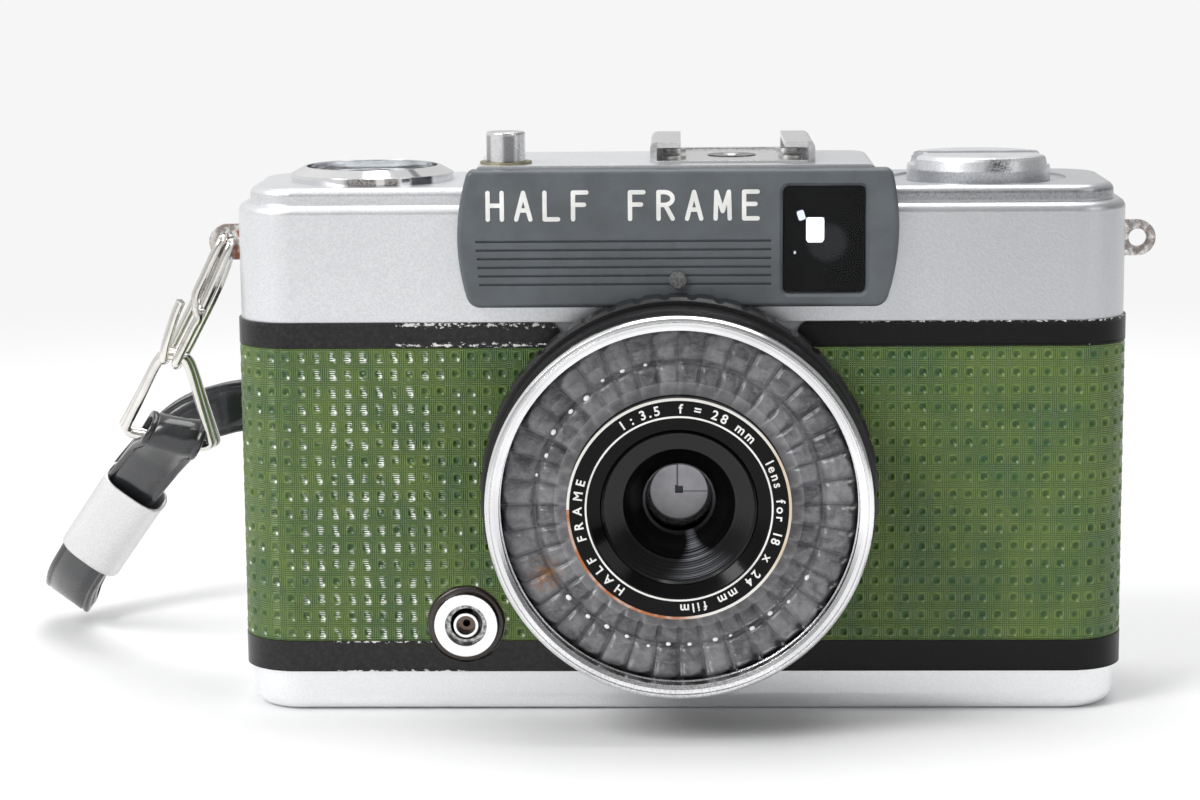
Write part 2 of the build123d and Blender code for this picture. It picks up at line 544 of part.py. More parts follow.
def sprocket():
    """Eight-tooth film sprocket with two toothed ends on one shaft."""
    wheel = post(0, 0, 1.0, 5.4, 50.4) + post(0, 0, 3.6, 6.6, 48.2)
    for z in (14.7, 43.7):
        wheel += post(0, 0, SPROCKET_R - 0.1, z - 1.6, z + 1.6)
        tooth = Pos(SPROCKET_R, 0, z) * Rot(0, 90, 0) * Cone(0.7, 0.35, 1.6)
        for i in range(SPROCKET_TEETH):
            wheel += Rot(0, 0, 360 * (i + 0.5) / SPROCKET_TEETH) * tooth
    return Pos(SPROCKET_X, SPROCKET_Y, 0) * wheel


# ---------------------------------------------------------------- rewind
def on_rewind(solid):
    return Pos(REWIND_X, REWIND_Y, 0) * solid


def rewind_knob():
    """Bevelled knob, channelled for the crank, with the fork that turns the cassette."""
    profile = make_face(Polyline((0, KNOB_BOTTOM), (KNOB_R, KNOB_BOTTOM), (KNOB_R, 67.2),
                                 (KNOB_R - 0.22, 68.5), (KNOB_R - 0.4, 68.85),
                                 (KNOB_R - 0.7, KNOB_TOP), (0, KNOB_TOP), close=True))
    knob = revolve(Plane.XZ * profile, Axis.Z, 360)
    knob -= block(-10, 10, -3.35, 3.35, CHANNEL_FLOOR, 70)
    knob -= post(GRIP_X, 0, GRIP_R + 0.4, GRIP_WELL_FLOOR, 70)
    knob -= block(GRIP_X, 10, -1.5, 1.5, GRIP_WELL_FLOOR, 70)
    knob -= rod(CRANK_PIVOT_X, CRANK_PIVOT_Z, 0.5, -4.5, 4.5)
    shaft = post(0, 0, 2.0, 46.6, KNOB_BOTTOM)
    fork = post(0, 0, 2.6, 44.0, 46.6) - block(-4, 4, -0.9, 0.9, 43, 45.4)
    return on_rewind(knob + shaft + fork)


def rewind_crank():
    """Fold-out lever that lies in the knob's channel, with its hinge pin and the grip's stud."""
    plate = block(CRANK_PIVOT_X, GRIP_X + 1.6, -3.1, 3.1, 67.85, 68.75)
    plate = fillet([e for e in plate.edges().filter_by(Axis.Z) if e.center().X > 3], 1.2)
    plate += rod(CRANK_PIVOT_X, CRANK_PIVOT_Z, 0.55, -3.1, 3.1)
    plate += rod(CRANK_PIVOT_X, CRANK_PIVOT_Z, 0.45, -4.4, 4.4)
    return on_rewind(plate + post(GRIP_X, 0, 0.7, 66.5, 67.9))


def crank_grip():
    """Small turning grip on the crank's stud."""
    grip = post(GRIP_X, 0, GRIP_R, 66.45, 67.8) - post(GRIP_X, 0, 0.75, 66, 69)
    return on_rewind(grip)


# ---------------------------------------------------------------- lens
def lens_mount():
    """Flange screwed to the casting, carrying the barrel."""
    flange = collar(22.4, 15.2, MOUNT_FACE, -12.9)
    for x, z in MOUNT_SCREWS:
        flange -= rod(x, z, MOUNT_HEAD_R, -17, MOUNT_HEAD_FLOOR) + rod(x, z, MOUNT_SCREW_R, -17, -12)
    return flange


def mount_screws():
    return [rod(x, z, MOUNT_HEAD_R, MOUNT_FACE, MOUNT_HEAD_FLOOR)
            + rod(x, z, MOUNT_SCREW_R, MOUNT_HEAD_FLOOR, -11.0) for x, z in MOUNT_SCREWS]


def lens_barrel():
    """Fixed black barrel: bearing for the turning ring and plain front band."""
    bearing = collar(20.9, 16.2, BARREL_FACE, MOUNT_FACE)
    band = collar(23.4, 16.2, BARREL_FACE, -21.15)
    return bearing + band + collar(16.4, 9.5, BARREL_FACE, -24.4)


def exposure_ring():
    """Scalloped ring that turns on the barrel to set the exposure."""
    ring = collar(LOBE_R, 20.98, -21.05, -16.1)
    ring = chamfer([e for e in ring.edges() if e.length > 145], 0.4)
    scallop = rod(LOBE_R + SCALLOP_OUT, 0, SCALLOP_R, -22, -15)
    cuts = [Rot(0, 360 * i / LOBES, 0) * scallop for i in range(LOBES)]
    place = Pos(LENS_X, 0, LENS_Z)
    return ring - [place * c for c in cuts]


def front_ring():
    """Chrome ring with a grooved front face and the filter thread as a plain bore."""
    return turned([(FILTER_R - 0.1, BARREL_FACE), (22.9, BARREL_FACE), (22.9, -28.0), (23.2, -28.3),
                   (23.2, -29.5), (22.95, -29.85), (22.62, -29.95), (22.62, -29.75),
                   (22.48, -29.75), (22.48, LENS_FRONT), (22.0, LENS_FRONT), (FILTER_R, -29.8),
                   (FILTER_R, -27.8), (FILTER_R - 0.1, -27.8)])


def cell_window():
    """Clear faceted ring over the photocell."""
    return collar(FILTER_R - 0.15, 13.5, -27.8, -25.9)


def photocell():
    return collar(20.7, 13.6, -25.8, BARREL_FACE)


def name_ring():
    return turned([(9.4, -28.6), (10.8, -29.4), (13.2, -29.5), (13.35, -29.3), (13.35, BARREL_FACE),
                   (12.4, BARREL_FACE), (12.4, -28.2), (9.4, -28.0)])


def front_cone():
    """Stepped black hood inside the name ring that shades the front lens."""
    steps = [(9.3, -28.7)]
    for i in range(CONE_STEPS):
        r, y = CONE_R - CONE_PITCH * i, -28.4 + CONE_RISE * i
        steps += [(r, y), (r, y + 0.30)]
    steps += [(4.4, -23.2), (4.1, -22.4), (6.4, -22.4), (9.3, -26.6)]
    return turned(steps)


def disc_lens(r, y0, y1, bulge_front, bulge_back):
    """Round glass element with spherical front and back faces of the given sags."""
    glass = rod(LENS_X, LENS_Z, r, y0, y1)
    for face_y, sag, side in ((y0, bulge_front, 1), (y1, bulge_back, -1)):
        big = (r * r + sag * sag) / (2 * sag)
        ball = Pos(LENS_X, face_y + side * (big), LENS_Z) * Sphere(big)
        glass &= ball
    return glass


def front_lens():
    return disc_lens(6.2, -22.2, -19.6, 1.1, 0.3) & rod(LENS_X, LENS_Z, 6.2, -22.3, -19.0)


def rear_lens():
    return disc_lens(5.6, -13.6, -11.4, 0.3, 0.9)


def shutter_housing():
    """Flat can that holds both blade pairs, with its front opening and rear lens seat."""
    can = collar(CAN_R, CAN_R - WALL, -19.3, -11.0)
    can += collar(CAN_R, STOP_R, -18.3, CAN_FRONT) + collar(CAN_R, 5.7, CAN_BACK, -11.0)
    can += collar(9.4, 6.25, -22.35, -18.3) + collar(CAN_R, 6.25, -19.3, -18.3)
    for name, (x, z, y0, y1) in BLADES.items():
        on_front = "aperture" in name
        near = CAN_FRONT - 0.1 if on_front else y0 - 0.1
        far = y1 + 0.1 if on_front else CAN_BACK + 0.1
        can += rod(LENS_X + x, LENS_Z + z, BLADE_POST_R, near, far)
    return can


def blade(name, sketch):
    """Thin plate in the lens axis frame, with a round eye on its pivot post."""
    x, z, y0, y1 = BLADES[name]
    flat = Plane.XZ.offset(-y1) * Pos(LENS_X, LENS_Z) * sketch
    plate = extrude(flat, y1 - y0)
    plate += rod(LENS_X + x, LENS_Z + z, BLADE_EYE_R, y0, y1)
    return plate - rod(LENS_X + x, LENS_Z + z, BLADE_POST_R + 0.05, -20, -10)


def aperture_blade_a():
    """L-shaped blade with the lower left half of the square stop."""
    sheet = Circle(BLADE_R) - Pos(5, 5) * Rectangle(10, 10)
    sheet -= Rectangle(2 * STOP_HALF, 2 * STOP_HALF)
    arm = Pos(5.2, -5.2) * Rot(0, 0, -45) * Rectangle(5.4, 2.4)
    return blade("aperture_a", sheet + arm)


def aperture_blade_b():
    """Quadrant blade with the upper right half of the square stop."""
    quadrant = Circle(BLADE_R) & (Pos(4.6, 4.6) * Rectangle(9.6, 9.6))
    quadrant -= Rectangle(2 * STOP_HALF, 2 * STOP_HALF)
    arm = Pos(-3.4, 6.0) * Rectangle(7.6, 2.0)
    link = Pos(-6.6, 5.9) * Rot(0, 0, 60) * Rectangle(3.6, 1.6)
    bridge = Pos(1.6, 5.0) * Rectangle(3.6, 3.0)
    return blade("aperture_b", quadrant + arm + link + bridge)


def shutter_blade(name, side):
    """Half-disc blade; the two overlap on the centre line."""
    half = Circle(BLADE_R) & (Pos(side * 4.6, 0) * Rectangle(10.4, 9.4))
    arm = Pos(side * 3.2, -6.6) * Rectangle(2.2, 8.0)
    return blade(name, half + arm)


def sync_shell():
    """Flanged socket sleeve for the flash lead."""
    shell = collar(3.95, 2.6, SYNC_MOUTH, -12.9, SYNC_X, SYNC_Z)
    return shell + collar(2.6, 2.0, -13.4, -12.9, SYNC_X, SYNC_Z)


def sync_contact():
    sleeve = collar(1.55, 1.2, -14.3, -10.6, SYNC_X, SYNC_Z)
    return sleeve + collar(1.2, 0.45, -13.0, -11.4, SYNC_X, SYNC_Z)


# ---------------------------------------------------------------- film path and door
def film_gate():
    """Steel aperture plate with its two pairs of film rails."""
    plate = block(-11.3, 22.0, 8.32, 8.7, 8.0, 48.0)
    rail = [block(-11.3, 22.0, 8.7, FILM_PLANE, LENS_Z + d - 0.6, LENS_Z + d + 0.6)
            for d in (-13.0, 13.0)]
    guide = [block(-11.3, 22.0, 8.7, FILM_PLANE + 0.3, LENS_Z + d - 0.5, LENS_Z + d + 0.5)
             for d in (-18.2, 18.2)]
    plate += rail + guide
    return plate - block(LENS_X - GATE_W / 2, LENS_X + GATE_W / 2, 7, 10, LENS_Z - GATE_H / 2,
                         LENS_Z + GATE_H / 2)


def rear_door():
    """Pressed door with rolled rim and the moving half of the hinge."""
    outer = slab(BODY_W - 0.2, BODY_D, BODY_R, DOOR_BOTTOM, DOOR_TOP)
    hollow = slab(BODY_W - 2.0, 25.4, BODY_R - 0.9, CHAMBER_BOTTOM, CHAMBER_TOP)
    door = outer - hollow - block(-60, 60, -20, SPLIT + GAP, 0, 60)
    door -= block(-PANEL_HALF_W, PANEL_HALF_W, 13.2, 14, LOW_TRIM_TOP, LEATHER_TOP)
    door -= [post(HINGE_X, HINGE_Y, KNUCKLE_R + 0.2, z0 - 0.2, z1 + 0.2)
             for z0, z1 in BODY_KNUCKLES]
    barrels = [post(HINGE_X, HINGE_Y, KNUCKLE_R, z0 + 0.2, z1 - 0.2) for z0, z1 in DOOR_KNUCKLES]
    webs = [block(HINGE_X + 0.1, HINGE_X + 1.6, HINGE_Y + 0.1, HINGE_Y + 2.0, z0 + 0.2, z1 - 0.2)
            for z0, z1 in DOOR_KNUCKLES]
    door += barrels + webs
    return door - hinge_bore(HINGE_PIN_R + 0.06)


def door_leather():
    half = PANEL_HALF_W - 0.05
    return block(-half, half, 13.2, BACK, LOW_TRIM_TOP + 0.05, LEATHER_TOP - 0.05)


def hinge_pin():
    return hinge_bore(HINGE_PIN_R)


def pressure_plate():
    """Flat plate that holds the film on the rails."""
    plate = block(-14.0, 14.0, 9.45, 10.1, LENS_Z - 17.6, LENS_Z + 17.6)
    return fillet(plate.edges().filter_by(Axis.Y), 2.0)


def pressure_spring():
    """Bowed leaf spring between the door and the pressure plate."""
    arc = ThreePointArc((-11, 12.6), (0, 10.3), (11, 12.6))
    inner_arc = ThreePointArc((10.6, 12.6), (0, 10.5), (-10.6, 12.6))
    outline = [arc, Line((11, 12.6), (10.6, 12.6)), inner_arc, Line((-10.6, 12.6), (-11, 12.6))]
    return extrude(Pos(0, 0, LENS_Z - 4) * make_face(outline), 8.0)


def door_latch():
    """Sliding catch at the free end of the door, with finger ridges."""
    slide = block(54.0, 55.4, 5.3, 9.3, 23.5, 35.0)
    for i in range(5):
        slide -= block(55.15, 56, 5, 9.5, 27.6 + i * 0.9, 28.0 + i * 0.9)
    return slide


# ---------------------------------------------------------------- wrist strap


def wire_loop(plane, outline):
    """Closed wire of round section that follows a flat outline."""
    edges = (plane * outline).edges()
    path = Wire(edges)
    return sweep(Plane(origin=path @ 0, z_dir=path % 0) * Circle(WIRE_R), path=path,
                 transition=Transition.ROUND)


def strap_link():
    """Long wire link that hangs in the lug's eye."""
    down = (RING_APEX - LINK_PIVOT).normalized()
    reach = (RING_APEX - LINK_PIVOT).length - LINK_HALF + 2 * WIRE_R + 0.1
    plane = Plane(origin=LINK_PIVOT, x_dir=down, z_dir=down.cross(Vector(0, 1, 0)))
    outline = Pos(LINK_HALF + reach / 2, 0) * SlotCenterToCenter(reach, 2 * LINK_HALF)
    return wire_loop(plane, outline.face().outer_wire())


def strap_ring():
    """Triangular wire ring through the link and the strap's small loop."""
    down = (RING_BAR - RING_APEX).normalized()
    plane = Plane(origin=RING_APEX, x_dir=down, z_dir=down.cross(BAR_ALONG))
    length = (RING_BAR - RING_APEX).length
    outline = Polygon((0, -2.2), (0, 2.2), (length, 5.4), (length, -5.4), align=None)
    outline = fillet(outline.vertices(), 1.3)
    return wire_loop(plane, outline.face().outer_wire())


def strap_path():
    return Spline(*STRAP_POINTS)


def strap_section(path, at, across, wide, thick):
    along = path % at
    side = Vector(*across)
    side = (side - along * side.dot(along)).normalized()
    return Plane(origin=path @ at, x_dir=side, z_dir=along) * RectangleRounded(wide, thick, 0.5)


def strap_stations(path):
    return [path.param_at_point(Vector(*p)) for p in STRAP_POINTS]


def wrist_strap():
    """Doubled vinyl strap: small loop round the ring's bar, then the run to its far end."""
    path = strap_path()
    sections = [strap_section(path, at, across, STRAP_WIDE, STRAP_THICK)
                for at, across in zip(strap_stations(path), STRAP_ACROSS)]
    run = loft(sections)
    eye_plane = Plane(origin=RING_BAR, x_dir=(Vector(*STRAP_POINTS[0]) - RING_BAR).normalized(),
                      z_dir=BAR_ALONG)
    eye = Circle(1.95) + Pos(2.0, 0) * Rectangle(4.0, 2.6) - Circle(WIRE_R + 0.25)
    eye_solid = extrude(eye_plane * eye, STRAP_WIDE / 2, both=True)
    return run + eye_solid


def ferrule():
    """Flattened metal sleeve that clamps the strap's ends."""
    start, end = Vector(*STRAP_POINTS[1]), Vector(*STRAP_POINTS[3])
    plane = Plane(origin=start, x_dir=Vector(0.80, 0, -0.60), z_dir=end - start)
    sleeve = RectangleRounded(STRAP_WIDE + 2.0, STRAP_THICK + 1.8, 1.3)
    sleeve -= RectangleRounded(STRAP_WIDE + 1.1, STRAP_THICK + 1.0, 0.9)
    return extrude(plane * sleeve, (end - start).length)


# ---------------------------------------------------------------- writing the nodes
NODES = {
    "body_casting": body_casting,
    "front_leather": leather,
    "upper_trim": upper_trim,
    "lower_trim": lower_trim,
    "base_plate": base_plate,
    "screws": screws,
    "tripod_socket": tripod_socket,
    "rewind_release_button": rewind_release_button,
    "top_cover": top_cover,
    "strap_lugs": strap_lugs,
    "front_hood": hood,
    "hood_pin": hood_pin,
    "finder_window": finder_window,
    "finder_tube": finder_tube,
    "finder_front_lens": finder_front_lens,
    "eyepiece_frame": eyepiece,
    "eyepiece_lens": eyepiece_lens,
    "hot_shoe": hot_shoe,
    "shoe_insulator": shoe_insulator,
    "shoe_contact": shoe_contact,
    "release_collar": release_collar,
    "release_button": release_button,
    "release_spring": release_spring,
    "counter_bezel": counter_bezel,
    "counter_cover": counter_cover,
    "counter_dial": counter_dial,
    "winding_wheel": winding_wheel,
    "take_up_spool": take_up_spool,
    "sprocket": sprocket,
    "rewind_knob": rewind_knob,
    "rewind_crank": rewind_crank,
    "crank_grip": crank_grip,
    "lens_mount": lens_mount,
    "lens_barrel": lens_barrel,
    "exposure_ring": exposure_ring,
    "front_ring": front_ring,
    "cell_window": cell_window,
    "photocell": photocell,
    "name_ring": name_ring,
    "front_cone": front_cone,
    "front_lens": front_lens,
    "rear_lens": rear_lens,
    "shutter_housing": shutter_housing,
    "aperture_blade_a": aperture_blade_a,
    "aperture_blade_b": aperture_blade_b,
    "shutter_blade_a": lambda: shutter_blade("shutter_a", -1),
    "shutter_blade_b": lambda: shutter_blade("shutter_b", 1),
    "sync_shell": sync_shell,
    "sync_contact": sync_contact,
    "film_gate": film_gate,
    "rear_door": rear_door,
    "door_leather": door_leather,
    "hinge_pin": hinge_pin,
    "pressure_plate": pressure_plate,
    "pressure_spring": pressure_spring,
    "door_latch": door_latch,
    "strap_link": strap_link,
    "strap_ring": strap_ring,
    "wrist_strap": wrist_strap,
    "ferrule": ferrule,
}


os.makedirs("parts", exist_ok=True)
for node_name, make in NODES.items():
    export_step(make(), f"parts/{node_name}.step")
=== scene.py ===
import math
import random

import bpy
import numpy as np
from mathutils import Matrix, Vector

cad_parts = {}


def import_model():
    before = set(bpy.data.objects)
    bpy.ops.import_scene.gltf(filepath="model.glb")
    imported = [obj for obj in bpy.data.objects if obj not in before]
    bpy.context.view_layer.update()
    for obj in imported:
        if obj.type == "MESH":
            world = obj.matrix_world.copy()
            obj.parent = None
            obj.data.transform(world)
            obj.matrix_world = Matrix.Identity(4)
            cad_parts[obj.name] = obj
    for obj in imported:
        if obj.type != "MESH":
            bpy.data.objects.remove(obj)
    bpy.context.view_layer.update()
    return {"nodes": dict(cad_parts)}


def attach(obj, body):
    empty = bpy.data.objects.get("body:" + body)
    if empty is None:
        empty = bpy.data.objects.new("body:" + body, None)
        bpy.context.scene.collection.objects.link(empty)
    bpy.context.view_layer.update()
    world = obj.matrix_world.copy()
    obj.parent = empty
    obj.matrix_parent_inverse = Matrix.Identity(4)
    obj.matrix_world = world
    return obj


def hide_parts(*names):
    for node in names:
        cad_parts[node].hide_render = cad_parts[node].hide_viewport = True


MM = 0.001

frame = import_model()
random.seed(7)
scene = bpy.context.scene

# shared with the CAD part, in millimetres
LENS = (-0.3, 29.2)
WIND = (-39.1, 0.8)
REWIND = (37.6, 0.2)
BUTTON = (-21.5, -9.6)
SYNC = (-27.0, 11.4)
LEATHER_Z = (9.2, 46.4)
HALF_W, FRONT_Y, CORNER_R, SIDE_END = 55.4, -13.4, 7.0, 3.9
LENS_CLEAR, SYNC_CLEAR = 22.6, 4.9
PITCH_U, ROWS = 1.92, 17
PITCH_V = (LEATHER_Z[1] - LEATHER_Z[0]) / ROWS
LUG = (-57.74, 0.0, 58.2)
RING_APEX = (-64.9, 0.0, 43.4)
RING_BAR = (-66.9, 6.0, 31.6)
BAR_ALONG = (0.987, 0.0, -0.161)
STRAP_POINTS = ((-68.9, 8.0, 29.2), (-73.45, 13.0, 23.7), (-77.4, 18.0, 18.4), (-81.3, 23.0, 13.1),
                (-84.6, 27.9, 8.3), (-86.2, 33.4, 4.9), (-85.8, 38.2, 7.0), (-82.8, 41.0, 12.9),
                (-77.5, 42.2, 20.6), (-70.9, 42.4, 27.2), (-65.4, 42.8, 29.4), (-61.4, 45.8, 29.6),
                (-60.2, 52.0, 28.4), (-60.0, 60.0, 26.4))
STRAP_ACROSS = ((0.93, 0, -0.37), (0.80, 0, -0.60), (0.80, 0, -0.60), (0.80, 0, -0.60), (0.80, 0, -0.58),
                (0.80, -0.1, -0.56), (0.80, -0.2, -0.56), (0.76, -0.2, -0.62), (0.66, -0.1, -0.75),
                (0.48, 0, -0.88), (0.30, 0, -0.95), (0.0, 0.1, -1.0), (0.0, 0.18, -0.98), (0.0, 0.22, -0.97))


# ------------------------------------------------------------------ shader helpers
class Nodes:
    """A fresh node tree on a material or a world, with short calls for the nodes used here."""

    def __init__(self, holder, output="ShaderNodeOutputMaterial"):
        self.holder = holder
        holder.use_nodes = True
        self.tree = holder.node_tree
        self.tree.nodes.clear()
        self.out = self.tree.nodes.new(output)

    def node(self, kind, **settings):
        made = self.tree.nodes.new(kind)
        for key, value in settings.items():
            setattr(made, key, value)
        return made

    def link(self, source, target):
        if isinstance(source, (int, float, tuple)):
            target.default_value = source
        else:
            self.tree.links.new(source, target)

    def feed(self, made, inputs):
        """Sets or links inputs, given by name or by number."""
        for key, value in inputs.items():
            self.link(value, made.inputs[key])
        return made

    def surface(self, **inputs):
        """Finishes the material with one principled shader."""
        bsdf = self.node("ShaderNodeBsdfPrincipled")
        self.feed(bsdf, {key.replace("_", " "): value for key, value in inputs.items()})
        return self.done(bsdf.outputs[0])

    def blend(self, factor, first, second):
        """Finishes with a mix of two shader outputs."""
        mixer = self.node("ShaderNodeMixShader")
        self.feed(mixer, {0: factor, 1: first, 2: second})
        return self.done(mixer.outputs[0])

    def place(self):
        return self.node("ShaderNodeTexCoord").outputs["Object"]

    def split(self, vector):
        return self.feed(self.node("ShaderNodeSeparateXYZ"), {0: vector}).outputs

    def scaled(self, vector, scale):
        return self.feed(self.node("ShaderNodeMapping"), {"Vector": vector, "Scale": scale}).outputs[0]

    def noise(self, vector, scale, detail, rough=0.55, distort=0.0):
        made = self.node("ShaderNodeTexNoise")
        self.feed(made, {"Vector": vector, "Scale": scale, "Detail": detail, "Roughness": rough,
                         "Distortion": distort})
        return made.outputs["Fac"]

    def math(self, operation, a, b=0.0, c=0.0):
        return self.feed(self.node("ShaderNodeMath", operation=operation), {0: a, 1: b, 2: c}).outputs[0]

    def fract(self, a):
        return self.math("FRACT", a)

    def times(self, a, b):
        return self.math("MULTIPLY", a, b)

    def times_plus(self, a, b, c):
        return self.math("MULTIPLY_ADD", a, b, c)

    def plus(self, a, b):
        return self.math("ADD", a, b)

    def minus(self, a, b):
        return self.math("SUBTRACT", a, b)

    def larger(self, a, b):
        return self.math("MAXIMUM", a, b)

    def size(self, a):
        return self.math("ABSOLUTE", a)

    def fit(self, value, from_low, from_high, to_low=0.0, to_high=1.0):
        """Soft step: the first pair of limits goes to the second."""
        made = self.node("ShaderNodeMapRange", interpolation_type="SMOOTHSTEP")
        return self.feed(made, {"Value": value, "From Min": from_low, "From Max": from_high,
                                "To Min": to_low, "To Max": to_high}).outputs[0]

    def mix(self, factor, a, b):
        made = self.node("ShaderNodeMix", data_type="RGBA")
        return self.feed(made, {0: factor, 6: rgba(a), 7: rgba(b)}).outputs[2]

    def bump(self, height, distance, strength=1.0, normal=None):
        made = self.feed(self.node("ShaderNodeBump"),
                         {"Height": height, "Distance": distance, "Strength": strength})
        if normal is not None:
            self.link(normal, made.inputs["Normal"])
        return made.outputs[0]

    def rounded(self, radius):
        return self.feed(self.node("ShaderNodeBevel", samples=4), {"Radius": radius}).outputs[0]

    def attribute(self, name):
        """The three values of a vector stored on the mesh."""
        return self.split(self.node("ShaderNodeAttribute", attribute_name=name).outputs["Vector"])

    def near(self, vector, point, inner, outer):
        """1 near a point (mm), fading to 0."""
        made = self.node("ShaderNodeVectorMath", operation="DISTANCE")
        self.feed(made, {0: vector, 1: tuple(c * MM for c in point)})
        return self.fit(made.outputs["Value"], inner * MM, outer * MM, 1.0, 0.0)

    def done(self, shader_output):
        self.tree.links.new(shader_output, self.out.inputs["Surface"])
        return self.holder


def material(name):
    return Nodes(bpy.data.materials.new(name))


def rgba(colour):
    return colour + (1.0,) if isinstance(colour, tuple) and len(colour) == 3 else colour


def srgb(r, g, b):
    """8-bit screen colour to linear."""
    return tuple((c / 255 / 12.92) if c <= 10 else ((c / 255 + 0.055) / 1.055) ** 2.4 for c in (r, g, b))


# ------------------------------------------------------------------ materials
def metal(name, colour, rough, grain, grain_scale, vary, metallic=1.0, soil=0.0,
          soil_colour=(0.12, 0.10, 0.08), round_edges=0.00012, speckle=0.0, tint=None):
    s = material(name)
    where = s.place()
    big = s.noise(where, 160.0, 4.0)
    small = s.noise(where, grain_scale, 2.0, 0.7)
    pale, dark = colour, tuple(c * (1 - vary) for c in colour)
    base = s.mix(s.fit(big, 0.3, 0.7), dark, pale)
    if speckle:
        base = s.mix(s.fit(small, 0.40, 0.60), tuple(c * (1 - speckle) for c in colour), base)
    if soil:
        dirt = s.times(s.fit(s.noise(where, 420.0, 8.0, 0.7), 0.56, 0.74), soil)
        base = s.mix(dirt, base, soil_colour)
    # the tint functions paint reflections and shade into the colour
    if tint:
        base = tint(s, where, base, small)
    roughness = s.times_plus(s.minus(big, 0.5), 0.10, rough)
    normal = s.bump(small, grain * MM, 1.0, s.rounded(round_edges) if round_edges else None)
    return s.surface(Base_Color=base, Metallic=metallic, Roughness=roughness, Normal=normal)


def cover_painted_shade(s, where, base, small):
    """Painted shade: a dark grainy band in the step under the plateau, and a soft darkening towards the
    right.
    """
    x, _, z = s.split(where)
    # painted shade: the cover darkens towards the right, away from the light
    right = s.fit(x, -10 * MM, 45 * MM)
    # painted shade in the step under the plateau, grainy and deeper towards the right
    step = s.times(s.fit(z, 64.05 * MM, 64.35 * MM), s.fit(z, 65.5 * MM, 65.15 * MM))
    step = s.times(step, s.fit(small, 0.30, 0.6, 0.95, 0.55))
    base = s.mix(s.times(right, 0.55), base, (0.42, 0.43, 0.45))
    return s.mix(s.times(step, s.fit(x, 5 * MM, 24 * MM, 0.15, 0.8)), base, (0.16, 0.16, 0.17))


def turned_about(s, where, centre):
    """Angle in degrees about an upright axis; 0 faces the front and grows to the right."""
    x, y, z = s.split(where)
    dx, dy = s.minus(x, centre[0] * MM), s.minus(centre[1] * MM, y)
    return s.times(s.math("ARCTAN2", dx, dy), 180 / math.pi), z


def window(s, value, low, high, soft):
    """1 between two limits with soft sides."""
    return s.times(s.fit(value, low - soft, low + soft), s.fit(value, high + soft, high - soft))


def bezel_painted_reflections(s, where, base, small):
    """Painted reflections: the bezel's upright band painted darker, with dark things and one bright strip
    mirrored in it, and a dark patch mirrored in the notch at the right of its bevel.
    """
    angle, z = turned_about(s, where, WIND)
    band = s.fit(z, 66.98 * MM, 66.86 * MM)
    brown = s.times(window(s, angle, -14, 24, 3), band)
    black = s.times(window(s, angle, 33, 52, 2), band)
    notch = s.times(window(s, angle, 36, 42, 2), s.fit(z, 66.9 * MM, 67.0 * MM))
    # painted reflections in the upright band and the notch
    base = s.mix(s.times(band, 0.35), base, (0.40, 0.40, 0.42))
    base = s.mix(s.times(brown, s.fit(small, 0.35, 0.6, 0.95, 0.55)), base, (0.10, 0.075, 0.065))
    base = s.mix(s.times(window(s, angle, 8, 14, 1), band), base, (0.75, 0.74, 0.72))
    base = s.mix(s.times(black, 0.92), base, (0.025, 0.027, 0.035))
    return s.mix(s.times(notch, 0.75), base, (0.16, 0.16, 0.17))


def knob_painted_reflections(s, where, base, small):
    """Painted light: a dark grainy reflection on the rewind knob's side, and a darker band painted low on
    its front.
    """
    angle, z = turned_about(s, where, REWIND)
    upper = s.times(window(s, angle, 2, 22, 5), window(s, z, 67.3 * MM, 68.9 * MM, 0.2 * MM))
    lower = s.times(window(s, angle, -60, 60, 8), s.fit(z, 67.4 * MM, 67.1 * MM))
    # painted reflection high on the side, painted darker band low at the front
    base = s.mix(s.times(upper, s.fit(small, 0.35, 0.6, 1.0, 0.4)), base, (0.12, 0.12, 0.13))
    return s.mix(s.times(lower, s.fit(small, 0.3, 0.6, 0.6, 0.4)), base, (0.25, 0.26, 0.29))


def button_painted_reflections(s, where, base, small):
    """Painted reflections: upright dark and bright streaks on the release button."""
    angle, z = turned_about(s, where, BUTTON)
    reflected_streak = s.times(window(s, angle, -5, 30, 6), s.fit(z, 72.5 * MM, 72.2 * MM))
    side = s.times(window(s, angle, -80, -48, 6), s.fit(z, 72.5 * MM, 72.2 * MM))
    # painted reflections in two upright streaks
    base = s.mix(s.times(reflected_streak, 0.8), base, (0.16, 0.16, 0.17))
    return s.mix(s.times(side, 0.6), base, (0.22, 0.22, 0.23))


def plastic(name, colour, rough, grain, grain_scale, coat=0.0, dust=0.0, round_edges=0.00012, shine=0.5):
    s = material(name)
    where = s.place()
    big = s.noise(where, 240.0, 5.0)
    small = s.noise(where, grain_scale, 3.0)
    base = s.mix(s.fit(big, 0.3, 0.7), tuple(c * 0.86 for c in colour), tuple(c * 1.08 for c in colour))
    if dust:
        specks = s.times(s.fit(s.noise(where, 3300.0, 2.0, 0.8), 0.66, 0.74), dust)
        base = s.mix(specks, base, (0.55, 0.55, 0.54))
    roughness = s.times_plus(s.minus(big, 0.5), 0.3, rough)
    normal = s.bump(small, grain * MM, 1.0, s.rounded(round_edges) if round_edges else None)
    return s.surface(Base_Color=base, Roughness=roughness, Normal=normal, Coat_Weight=coat,
                     Coat_Roughness=0.08, Specular_IOR_Level=shine)


def clear(name, tint, rough=0.02, reflect=1.0):
    """Thin clear sheet: sees through, with mirror-like reflections at glancing angles."""
    s = material(name)
    where = s.place()
    smear = s.noise(where, 300.0, 4.0)
    through = s.feed(s.node("ShaderNodeBsdfTransparent"), {0: rgba(tint)})
    gloss = s.feed(s.node("ShaderNodeBsdfGlossy"), {"Roughness": s.times_plus(smear, 0.05, rough)})
    fresnel = s.feed(s.node("ShaderNodeFresnel"), {"IOR": 1.5})
    return s.blend(s.times(fresnel.outputs[0], reflect), through.outputs[0], gloss.outputs[0])


